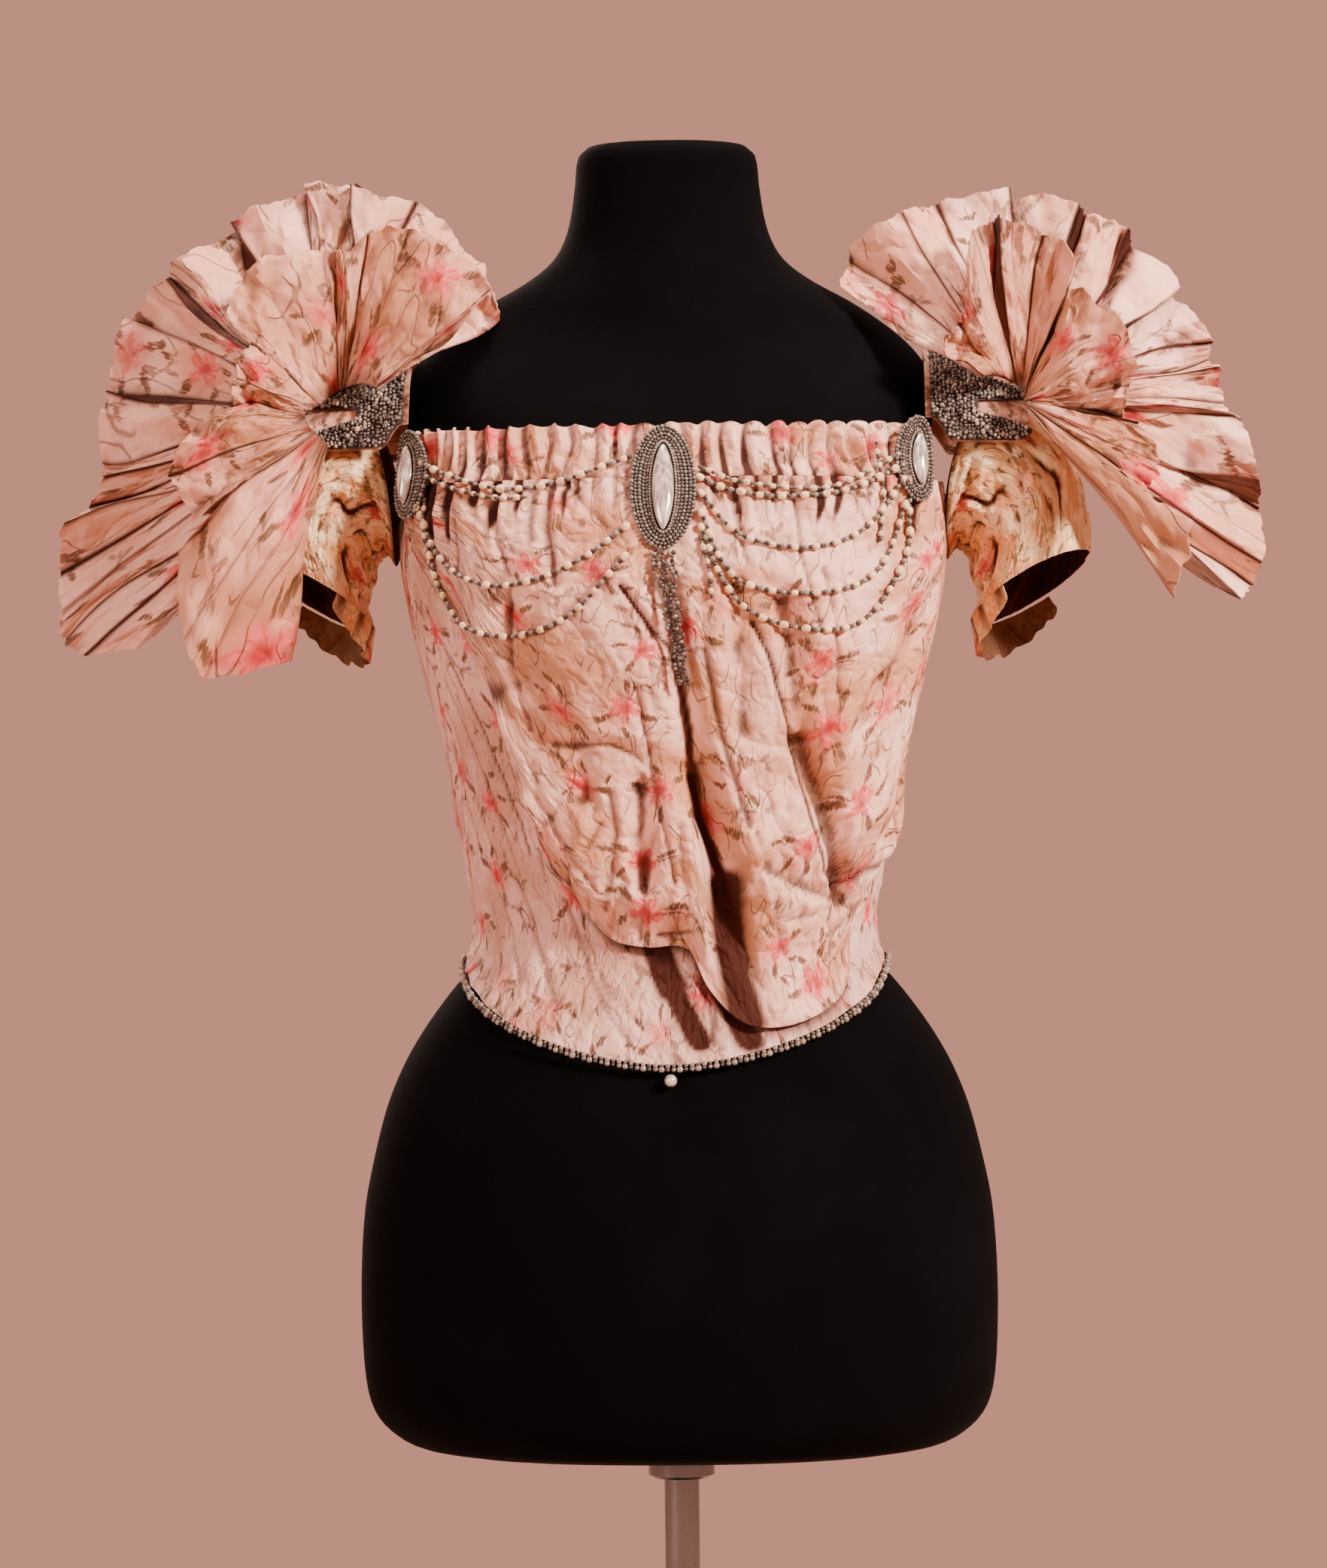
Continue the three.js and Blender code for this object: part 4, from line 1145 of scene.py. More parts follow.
@dataclass
class FittedBodice:
    """The fitted panels, the lap at the back and the small creases that they carry.

    Attributes:
        lap_cut: Width and length of the lap.
        lap_half: Half its width in degrees.
        lap_clear: Gap between it and the backs.
        lap_raised: How far its lower end lies above the hem.
        lap_rows: Steps up it.
    """

    lap_cut: Pair = (18.0, 290.0)
    lap_half: float = 3.6
    lap_clear: float = 1.6
    lap_raised: float = 0.5
    lap_rows: int = 90

    def build(self) -> None:
        """Makes each panel."""
        for side in Side:
            for panel in PANELS:
                self._panel(side, panel)
        self._lap()

    def _panel(self, side: Side, panel: Panel) -> None:
        """Makes one panel."""
        across, up = grid(panel.columns, panel.rows)
        angle = side.value * mix(panel.start + SEAM_TURN, panel.end - SEAM_TURN, across)
        z = mix(hem_at(angle), top_at(angle), up)
        crease = self._creases(angle, z, across)
        # Painted shade in the valleys of the creases; on the front also along its fold lines and fine
        # valleys, with a painted shadow under the loose front's edge.
        shade = smooth((valleys(crease, 4) - 0.2) / 1.6) * 0.5
        if panel.name == "front":
            crease = crease - folded(FITTED_FOLDS, angle, z, "depth")
            below = read(DRAPE_EDGE, "z", angle) - z
            under = np.exp(-((np.maximum(below, 0) / 7.0) ** 2)) * 0.75 * (angle > -63)
            fine = smooth((valleys(crease, 2) - 0.1) / 0.5) * 0.4
            lines = folded(FITTED_FOLDS, angle, z, "shade") * 1.3
            shade = np.max([shade, lines, under, fine], axis=0)
        name = f"{panel.name}_{side.word}"
        cloth = Cloth(
            f"fitted_{name}",
            around(angle, z, EASE + CLOTH + crease),
            (panel.width, panel.length),
            shade=shade,
            origin=(panel.start * 2.7 + (300 if side is Side.RIGHT else 0), 40.0),
        )
        sew(cloth, SILK_SIDE, "silk", name, "stretched", "dress_form")

    @staticmethod
    def _creases(angle: Array, z: Array, across: Array) -> Array:
        """Returns how far each point stands out, with drags at the waist and slanting lines above."""
        waist = np.exp(-(((z - 500) / 42) ** 2))
        drag = ridged(angle * 0.05 + z * 0.012, z * 0.075 - np.abs(angle) * 0.06, 11) * 1.1 * waist
        slant = ridged(angle * 0.36 + z * 0.11, z * 0.012, 12) * 0.6 * (1 - waist)
        crush = crumple(angle * 2.5 + z * 0.2, z, 17.0, 13) * 1.3
        seam = np.exp(-((np.minimum(across, 1 - across) / 0.012) ** 2))
        return (drag + slant) * 0.8 + crush - 0.6 - 0.15 * seam

    def _lap(self) -> None:
        """Makes the lap over the hooks of the centre back."""
        across, up = grid(10, self.lap_rows)
        angle = mix(180 - self.lap_half, 180 + self.lap_half, across)
        z = mix(HEM_BACK + self.lap_raised, HEADING_BOTTOM + BACK_RISE - BELOW_HEADING, up)
        pucker = noise(across * 2, z * 0.09, 21) * 0.35
        roll = -0.9 * np.abs(across * 2 - 1) ** 6
        outer = around(angle, z, EASE + 2 * CLOTH + self.lap_clear + pucker + roll)
        cloth = Cloth("back_lap_cloth", outer, self.lap_cut, origin=(700, 0))
        sew(cloth, SILK_SIDE, "silk", "back_lap", "stretched", "fitted_back_left", "fitted_back_right")


# ---- loose front


class EdgeRow(NamedTuple):
    """Height of the lower edge of the loose front at an angle."""

    angle: float
    z: float


class FullRow(NamedTuple):
    """How far the loose front stands off the fitted front at a height."""

    z: float
    off: float


class Fold(NamedTuple):
    """A fold of the loose front: a trough where its depth is above 0, and a ridge below 0, with painted shade
    along it.
    """

    path: tuple[Pair, ...]
    depth: float
    width: float
    shade: float = 0.0


DRAPE_EDGE = [
    EdgeRow(*row)
    for row in (
        (-64, 724), (-56, 702), (-48, 676), (-43, 654), (-38, 604), (-33, 550),
        (-27, 526), (-21, 506), (-15, 494), (-6, 490), (5, 488), (9, 467),
        (15, 449), (22, 445), (32, 451), (42, 464), (50, 482), (56, 510),
        (62, 524), (70, 537), (78, 549),
    )
]
DRAPE_FULLNESS = [
    FullRow(*row)
    for row in (
        (440, 0), (485, 3), (515, 12), (550, 15), (600, 10), (660, 5), (700, 4), (751, 1.5),
    )
]
# The largest folds, as the frame has them, with the painted shade along them.
MAIN_FOLDS = [
    Fold(((0, 690), (6.3, 585)), 9, 6, 0.5),
    Fold(((6.3, 590), (18.3, 458)), 13, 8, 0.75),
    Fold(((23.5, 684), (29, 605)), 7, 6, 0.35),
    Fold(((29, 605), (44.5, 516)), 12, 7, 0.45),
    Fold(((14, 690), (17, 610)), 5, 6, 0.2),
    Fold(((-6, 578), (-6.5, 524)), 9, 7),
    Fold(((-11, 528), (-14, 500)), 7, 7),
    Fold(((-20, 610), (-18, 572)), 5, 7),
    Fold(((-33, 690), (-29, 640)), 4, 8),
    Fold(((63, 668), (46, 614)), 5, 9),
    Fold(((23, 534), (50, 508)), 5, 7),
    Fold(((63, 590), (52, 524)), 7, 9),
]
# Finer creases in the cloth between them, with their painted shade; rows of depth 0 are patches of painted
# shade alone.
FINE_FOLDS = [
    Fold(((-8.2, 690), (-2.5, 665), (0.9, 656), (3.5, 633), (5.3, 607), (5.6, 585)), 3.4, 1.7, 0.9),
    Fold(((5.6, 585), (7.1, 563), (12, 534), (17.2, 507), (19.1, 483), (17, 462)), 5.0, 3.2, 1.25),
    Fold(((-17, 668), (-15, 652), (-14.5, 634)), 0.0, 21.0, 0.3),
    Fold(((-18, 540), (-12.5, 520), (-8, 506)), 0.0, 8.0, 0.35),
    Fold(((13, 530), (17, 462)), 0.0, 17.0, 0.35),
    Fold(((44, 524), (52, 520)), 0.0, 11.0, 0.4),
    Fold(((13.6, 524), (15.4, 494), (16.2, 468), (16.4, 449)), 6.0, 9.4, 1.5),
    Fold(
        ((17.7, 670), (20.9, 652), (24.4, 628), (28.7, 594), (33.1, 556), (36.8, 534), (42.9, 514)),
        3.2,
        1.6,
        0.9,
    ),
    Fold(((8, 655), (10.4, 622), (13.5, 593), (17.8, 557)), 3.0, 2.2, 0.75),
    Fold(((-29, 575), (-22, 545), (-15.5, 517)), 2.6, 2.2, 0.4),
    Fold(((-6, 634), (-2.3, 575), (1.5, 526)), 2.4, 1.8, 0.5),
    Fold(((19.5, 553), (25, 517), (28.5, 485)), 2.2, 2.2, 0.35),
    Fold(((66, 625), (60, 575), (63, 537)), 2.2, 2.0, 0.5),
    Fold(((-26, 748), (-25.4, 716)), 2.4, 3.0, 0.55),
    Fold(((-31, 690), (-33, 650), (-30, 612)), 2.0, 1.8, 0.35),
    Fold(((31, 700), (35, 660), (37, 628)), 2.0, 1.8, 0.4),
    Fold(((36.9, 532), (43.3, 523), (54, 532), (71.8, 541)), 4.0, 2.6, 0.7),
    Fold(((41, 531), (49, 528)), 4.5, 5.0, 0.45),
    Fold(((-12.7, 576), (-11.6, 556), (-12.9, 534), (-15.9, 512)), 3.6, 2.6, 0.5),
    Fold(((-17.9, 566), (-19.7, 536), (-21.6, 511)), -2.6, 4.5),
    Fold(((-24.9, 603), (-12, 603), (-6.9, 597), (-4, 590)), 2.2, 2.2, 0.3),
    Fold(((-24, 610), (-12, 611), (-5, 605)), -1.6, 3.5),
    Fold(((56, 649), (47.7, 636), (41.7, 610)), 2.6, 3.0, 0.4),
    Fold(((-22.6, 749), (-22.2, 720), (-21.2, 692)), 3.0, 2.4, 0.7),
    Fold(((-34.4, 744), (-32.5, 718), (-30.2, 697)), 2.0, 1.6, 0.45),
    Fold(((24.7, 748), (27.1, 702), (30.7, 666)), 2.4, 1.5, 0.6),
    Fold(((-19.8, 749), (-10.9, 723)), 1.8, 1.4, 0.5),
    Fold(((33.5, 749), (40.9, 724)), 1.8, 1.6, 0.45),
    Fold(((12, 748), (14.5, 722), (16.7, 698)), 1.6, 1.5, 0.4),
    Fold(((-44, 748), (-42.5, 722), (-43, 700)), 1.8, 1.6, 0.4),
    Fold(((8.5, 648), (12.2, 599), (16, 557), (24.3, 519)), -2.4, 5.0),
    Fold(((40, 517), (30, 523.4), (19.1, 536)), 1.8, 2.2, 0.15),
    Fold(((44, 511), (32.5, 506.5), (22.6, 500)), 1.6, 2.4, 0.12),
    Fold(((36, 528), (28, 545), (22, 566)), 1.4, 2.6, 0.1),
    Fold(((-28, 522), (-18, 545), (-13, 566)), 1.6, 2.4, 0.15),
    Fold(((-23, 502), (-17, 528)), 1.5, 2.2, 0.15),
    Fold(((-8, 494), (-6, 520), (-2, 560)), 1.7, 2.4, 0.2),
    Fold(((1, 492), (3.5, 520), (2.5, 556)), 1.6, 2.2, 0.25),
    Fold(((-3, 497), (8, 499)), 2.2, 1.6, 0.4),
    Fold(((18.3, 457), (24.8, 453)), 2.2, 2.4, 0.4),
    Fold(((60, 560), (52, 545), (46, 534)), 1.8, 2.4, 0.3),
    Fold(((66, 520), (54, 512), (46, 503)), 1.6, 2.4, 0.25),
    Fold(((33, 640), (36, 600), (38, 568)), 1.2, 3.0, 0.05),
    Fold(((-36, 632), (-30, 590), (-27, 560)), 1.3, 3.0, 0.1),
]
# Creases of the fitted front where it shows below and beside the loose front, with their painted shade; rows
# of depth 0 are patches of painted shade alone.
FITTED_FOLDS = [
    Fold(((-4.5, 492), (-2.0, 479), (0.2, 468)), 2.4, 8.2, 1.5),
    Fold(((0.2, 468), (3.0, 454), (6.0, 438)), 2.2, 5.4, 1.5),
    Fold(((7, 470), (9.5, 452), (9, 436)), 1.6, 2.4, 0.6),
    Fold(((12, 470), (15, 450), (16.5, 439)), 2.4, 7.0, 1.4),
    Fold(((-2, 484), (9, 446)), 0.0, 17.0, 0.3),
    Fold(((22, 462), (27, 452)), 0.0, 12.0, 0.4),
    Fold(((24, 446), (30, 450)), 1.4, 4.0, 0.6),
    Fold(((-30, 517), (-22, 478), (-13, 450), (-9, 438)), 1.4, 2.2, 0.45),
    Fold(((-24, 497), (-17, 470), (-6, 446)), 1.2, 1.8, 0.4),
    Fold(((-45, 530), (-38, 492), (-27, 458)), 1.3, 2.0, 0.4),
    Fold(((-53, 520), (-47, 492), (-40, 470)), 1.1, 1.6, 0.35),
    Fold(((-57, 660), (-48, 610), (-41, 566), (-38, 541)), 1.4, 1.3, 0.6),
    Fold(((-60, 640), (-52, 592), (-46, 552)), 1.2, 1.2, 0.5),
    Fold(((-65, 628), (-58, 580), (-52, 540)), 1.1, 1.2, 0.4),
    Fold(((-68, 600), (-61, 556), (-55, 525)), 1.0, 1.2, 0.35),
    Fold(((-51, 588), (-45, 545), (-42, 522)), 1.0, 1.2, 0.4),
    Fold(((48, 500), (44, 478), (36, 458)), 1.2, 1.8, 0.4),
    Fold(((60, 512), (54, 488), (48, 470)), 1.2, 1.8, 0.4),
]
FOLD_DEGREE = 2.3  # millimetres of cloth that a degree is, as the folds count them


def folded(folds: Sequence[Fold], angle: Array, z: Array, value: str) -> Array:
    """Returns the deepest of some folds at each point.

    Args:
        folds: The folds.
        angle: Angles of the points.
        z: Their heights.
        value: Which of a fold's columns to spread, "depth" or "shade", its painted shade.
    """
    deepest, highest = np.zeros_like(angle), np.zeros_like(angle)
    here = np.stack([angle * FOLD_DEGREE, z], -1)
    for fold in folds:
        path = np.array(fold.path) * (FOLD_DEGREE, 1)
        away = np.full_like(angle, np.inf)
        for a, b in zip(path, path[1:]):
            run = b - a
            t = np.clip(((here - a) @ run) / (run @ run), 0, 1)
            away = np.minimum(away, np.linalg.norm(here - (a + t[..., None] * run), axis=-1))
        spread = getattr(fold, value) * np.exp(-((away / fold.width) ** 2))
        deepest, highest = np.maximum(deepest, spread), np.minimum(highest, spread)
    return deepest + highest


@dataclass
class LooseFront:
    """The draped overlay that pouches over the fitted front.

    Attributes:
        left: Angle of its left edge.
        right: Angle of its right edge.
        stand: How far it stands off everywhere.
        clear: Gap that it always keeps.
        least: Share of its fullness that stays at its edges.
        columns: Steps across it.
        rows: Steps up it.
        cut: Width and length of its cut.
    """

    left: float = -64.0
    right: float = 78.0
    stand: float = 4.2
    clear: float = 1.8
    least: float = 0.12
    columns: int = 232
    rows: int = 146
    cut: Pair = (380.0, 310.0)

    def freedom(self, angle: Array, z: Array) -> Array:
        """Returns how free the cloth is, from 0 at its edges to 1."""
        sides = smooth((angle - self.left) / 16) * smooth((self.right - angle) / 24)
        side = mix(1.0, smooth((top_at(angle) - z) / 40), smooth((np.abs(angle) - 52) / 12))
        return smooth((z - read(DRAPE_EDGE, "z", angle)) / 28) * sides * side

    def off(self, angle: Array, z: Array, fine: bool = True) -> Array:
        """Returns how far the cloth's inside stands off the dress form.

        Args:
            angle: Angles of the points.
            z: Their heights.
            fine: Whether the finer creases count.
        """
        angle, z = np.broadcast_arrays(np.asarray(angle, float), np.asarray(z, float))
        free = self.freedom(angle, z)
        even = 1.1 * np.cos(np.radians(angle * 90)) * smooth((z - 700) / 40)
        gathers = self.gathers(angle, z) if fine else even
        full = self.stand + read(DRAPE_FULLNESS, "off", z) - folded(MAIN_FOLDS, angle, z, "depth")
        crease = 0.0
        if fine:
            soft = noise(angle * 0.11 + z * 0.01, z * 0.03, 31) * 1.8
            along = angle * FOLD_DEGREE
            crush = crumple(along + z * 0.25, z - along * 0.2, 29.0, 33) * 4.6
            crush = crush + crumple(along, z, 13.0, 37) * 1.9
            crease = (soft + crush) * free - folded(FINE_FOLDS, angle, z, "depth")
        return EASE + CLOTH + self.clear + np.maximum(0, full * mix(self.least, 1, free) + gathers + crease)

    @staticmethod
    def gathers(angle: Array, z: Array) -> Array:
        """Returns the uneven gathers that run down from the heading."""
        reach = 36 + 30 * noise(angle * 0.31, 0.5, 34)
        fade = smooth((z - (HEADING_BOTTOM - reach)) / (reach * 0.9))
        line = angle + 0.8 * noise(angle * 0.2, z * 0.05, 35)
        folds = ridged(line * 0.42, 0.3, 36) * 1.9 + np.cos(np.radians(line * 90)) * 0.9
        return (folds - 0.9) * fade * 1.4

    def build(self) -> None:
        """Makes the loose front."""
        across, up = grid(self.columns, self.rows)
        angle = mix(self.left, self.right, across)
        top = np.minimum(HEADING_BOTTOM - BELOW_HEADING, top_at(angle) - 1)
        z = mix(read(DRAPE_EDGE, "z", angle), top, up)
        off = self.off(angle, z)
        outer = around(angle, z, off + CLOTH)
        # Painted shade along the folds, in the valleys and the troughs of the gathers, and darker along the
        # lower edge.
        main, fine = folded(MAIN_FOLDS, angle, z, "shade") * 0.6, folded(FINE_FOLDS, angle, z, "shade")
        wide = smooth((valleys(off, 5) - 0.3) / 2.4) * 0.7
        narrow = smooth((valleys(off, 2) - 0.16) / 0.7) * 0.55
        lines = smooth((-self.gathers(angle, z) - 0.55) / 0.9) * 0.95
        edge = np.exp(-(((z - read(DRAPE_EDGE, "z", angle)) / 2.2) ** 2)) * 0.4
        dark = np.max([main, fine, wide, narrow, lines, edge], axis=0)
        cloth = Cloth("loose_front_drape", outer, self.cut, shade=dark, origin=(20.0, 15.0))
        sew(cloth, SILK_FRONT, "silk", "loose_front", "gathered", "fitted_front_left", "fitted_front_right")


# ---- headings


@dataclass
class Heading:
    """A gathered frill that stands along the neckline.

    Attributes:
        node: The node that it stands for.
        start: Angle of its first end.
        end: Angle of its other end.
        waves: How many gathers it has.
        bottom: Height of its lower edge.
        top: Height of its upper edge.
        seed: Chooses its unevenness.
        front: The loose front that it continues, if it does.
        gathered: Millimetres of its cut for each degree.
        extra: How much longer its cut is than it stands high.
    """

    node: str
    start: float
    end: float
    waves: int
    bottom: float
    top: float
    seed: int
    front: LooseFront | None = None
    gathered: float = 3.3
    extra: float = 6.0

    def build(self) -> None:
        """Makes the frill."""
        across, up = grid(self.waves * 14, 16)
        drift = noise(across * self.waves * 0.8, up * 1.4, self.seed) * 0.35
        phase = 2 * np.pi * (self.waves * across + drift)
        wave = HEADING_WAVE * np.sin(phase) * mix(0.55, 1, up)
        tuck = ridged(across * self.waves * 1.7, up * 0.6, self.seed + 1) * 0.9
        angle = mix(self.start, self.end, across)
        ragged = noise(across * self.waves * 2.2, 0.5, self.seed + 2) * 1.5 + 1.0 * np.cos(phase)
        z = mix(self.bottom, self.top + ragged - 1.6, up)
        roll = -1.4 * up**5
        off = EASE + 2 * CLOTH + HEADING_STAND + wave + tuck - 0.5 + roll
        if self.front:
            drape = self.front.off(angle, HEADING_BOTTOM - BELOW_HEADING) + CLOTH - 0.3
            off = mix(drape, off, smooth(up / 0.3))
        outer = around(angle, z, off)
        # Painted shade in the troughs of the gathers and along the lower edge.
        trough = (0.5 - 0.5 * np.sin(phase)) ** 2.6
        uneven = 0.85 + 0.5 * noise(across * self.waves * 0.45, up * 0.8, self.seed + 3)
        dark = trough * uneven * mix(1.15, 0.8, up) + (1 - smooth(up / 0.1)) * 0.25
        cut = (abs(self.end - self.start) * self.gathered, self.top - self.bottom + self.extra)
        cloth = Cloth(self.node + "_frill", outer, cut, shade=dark)
        rests_on = ["loose_front_drape"] if self.front else ["fitted_back_left", "fitted_back_right"]
        sew(cloth, SILK_FRONT, "silk", self.node, "gathered", *rests_on)


# ---- shoulders


STRAP_INNER, STRAP_OUTER, STRAP_CENTRE, STRAP_START = 146.0, 204.0, 770.0, 16.0
STRAP_LOW, STRAP_FROM, STRAP_OVER = 2.0, 150.0, 12.0
STRAP_DEPTHS, STRAP_RISES = (60.0, 54.7), (57.0, 39.9)
ARM_TURNS = (10.0, 42.0, 138.0, 170.0)


def strap_start(x: Array | float) -> Array:
    """Returns the turn at which a strap starts, lower down beside the plaque than above it."""
    return mix(STRAP_START, STRAP_LOW, smooth((x - STRAP_FROM) / STRAP_OVER))


def on_strap(side: Side, x: Array, turn: Array, off: Array | float) -> Array:
    """Returns points of a shoulder strap, a dome over the end of the shoulder.

    Args:
        side: Which shoulder.
        x: Distance out from the middle.
        turn: Turn over the shoulder, from the front at 0 to the back at 180.
        off: Distance off the dome.
    """
    out = (x - STRAP_INNER) / (STRAP_OUTER - STRAP_INNER)
    depth, rise = mix(*STRAP_DEPTHS, out) + off, mix(*STRAP_RISES, out) + off
    y, z = -depth * np.cos(np.radians(turn)), STRAP_CENTRE + rise * np.sin(np.radians(turn))
    return np.stack(np.broadcast_arrays(side.value * x, y, z), -1)


def strap_centre(points: Array) -> Array:
    """Returns the middle of the strap's dome beside each point."""
    return points * (1, 0, 0) + (0, 0, STRAP_CENTRE)


@dataclass
class Shoulder:
    """A shoulder strap with its beaded braid.

    Attributes:
        side: Which shoulder.
        inner: Distance of the braid's inner edge from the middle.
        band: Distance of its plain outer edge.
        arm: Distance of the tips of its leaf-shaped arms.
        arm_half: Half the turn that an arm takes.
        inset: Degrees from the strap's edge to the braid's.
        apart: Millimetres between beads.
        cut: Width and length of the strap's cut.
        lift: How far the net lies off the strap's dome.
        thick: Thickness of the net.
    """

    side: Side
    inner: float = 149.0
    band: float = 176.0
    arm: float = 206.0
    arm_half: float = 12.0
    inset: float = 1.0
    apart: float = 2.3
    cut: Pair = (178.0, 58.0)
    lift: float = CLOTH + 0.9
    thick: float = 0.7

    def edge(self, turn: Array) -> Array:
        """Returns the braid's outer edge at a turn."""
        near = np.min([np.abs(turn - at) for at in ARM_TURNS], axis=0) / self.arm_half
        return mix(self.band, self.arm, np.maximum(0, 1 - near * near))

    def build(self, beading: Beading) -> None:
        """Makes the strap and the braid."""
        across, up = grid(100, 30)
        x = mix(STRAP_INNER, STRAP_OUTER, up)
        turn = mix(strap_start(x), 180 - strap_start(x), across)
        rumple = noise(turn * 0.09, x * 0.05, 41) * 0.5 - 0.5
        outer = on_strap(self.side, x, turn, CLOTH + rumple)
        # The shade is painted shade in the hollows of the rumples.
        name, shade = f"strap_{self.side.word}", np.clip(-rumple, 0, 0.4)
        cloth = Cloth(name + "_silk", outer, self.cut, centre=strap_centre, shade=shade)
        sew(cloth, SILK_FRONT, "silk", name, "stretched", "dress_form")
        self._braid(beading)

    def _braid(self, beading: Beading) -> None:
        """Makes the beads and the net that holds them."""
        name = f"braid_{self.side.word}"
        across, up = grid(150, 16)
        low = STRAP_LOW + self.inset
        x = mix(self.inner, self.edge(mix(low, 180 - low, across)), up)
        start = strap_start(x) + self.inset
        turn = mix(start, 180 - start, across)
        outer = on_strap(self.side, x, turn, self.lift + 0.8)
        net = Cloth(name + "_net", outer, self.cut, centre=strap_centre, thickness=self.thick)
        finish_piece(net.build(NET.material()), "beads")
        rows, step = [], math.degrees(self.apart / STRAP_RISES[0])
        for row in range(int((self.arm - self.inner) / self.apart) + 1):
            out = self.inner + 1 + row * self.apart
            first = strap_start(out) + self.inset + 1.2
            turns = np.arange(first, 180 - first, step) + (row % 2) * 0.5 * step
            turns = turns[(self.edge(turns) - 1.2 > out) & (turns < 180 - first)]
            if not len(turns):
                continue
            flower = np.cos(np.radians(turns * 11.25 + 160)) * math.cos((out - self.inner) * 0.24)
            lump = 1.5 * np.maximum(0, flower) + 0.6 * noise(turns * 0.33, out * 0.4, 42)
            aside, astray = (noise(turns * 1.7, out * 1.3, seed) * 0.8 for seed in (46, 47))
            points = on_strap(self.side, out + aside, turns + astray, self.lift + 1.7 + lump)
            rim = self.edge(turns) - out < 1.6 * self.apart
            tints = 0.42 + 0.3 * flower + noise(turns * 0.9, out * 0.7, 43) * 0.4
            tints = np.where(rim, 0.66 + noise(turns * 2.1, out, 45) * 0.3, tints)
            sizes = np.where(rim, 1.35, 1.15) + noise(turns * 1.3, out, 44) * 0.45
            rows.append(BeadList(points, sizes, np.clip(tints, 0, 0.88), points * 0 + (0, 0, 1)))
        made = beading.string(name + "_beads", BeadList.joined(rows), uneven=0.3, fineness=1)
        finish_piece(made, "beads", name)


# ---- sleeves


class SleeveRow(NamedTuple):
    """One ring of a sleeve: its middle, half sizes, turn, and reach round the armhole."""

    order: float
    x: float
    z: float
    depth: float
    height: float
    turn: float
    wrap: float


SLEEVE = [
    SleeveRow(0, 167, 755, 46, 46, 10, 7),
    SleeveRow(1, 176, 756, 52, 45, 16, 5),
    SleeveRow(2, 190, 750, 57, 44, 28, 3),
    SleeveRow(3, 202, 734, 59, 44, 42, 1),
    SleeveRow(4, 207, 712, 56, 41, 54, 0),
    SleeveRow(5, 206, 692, 50, 38, 62, 0),
]


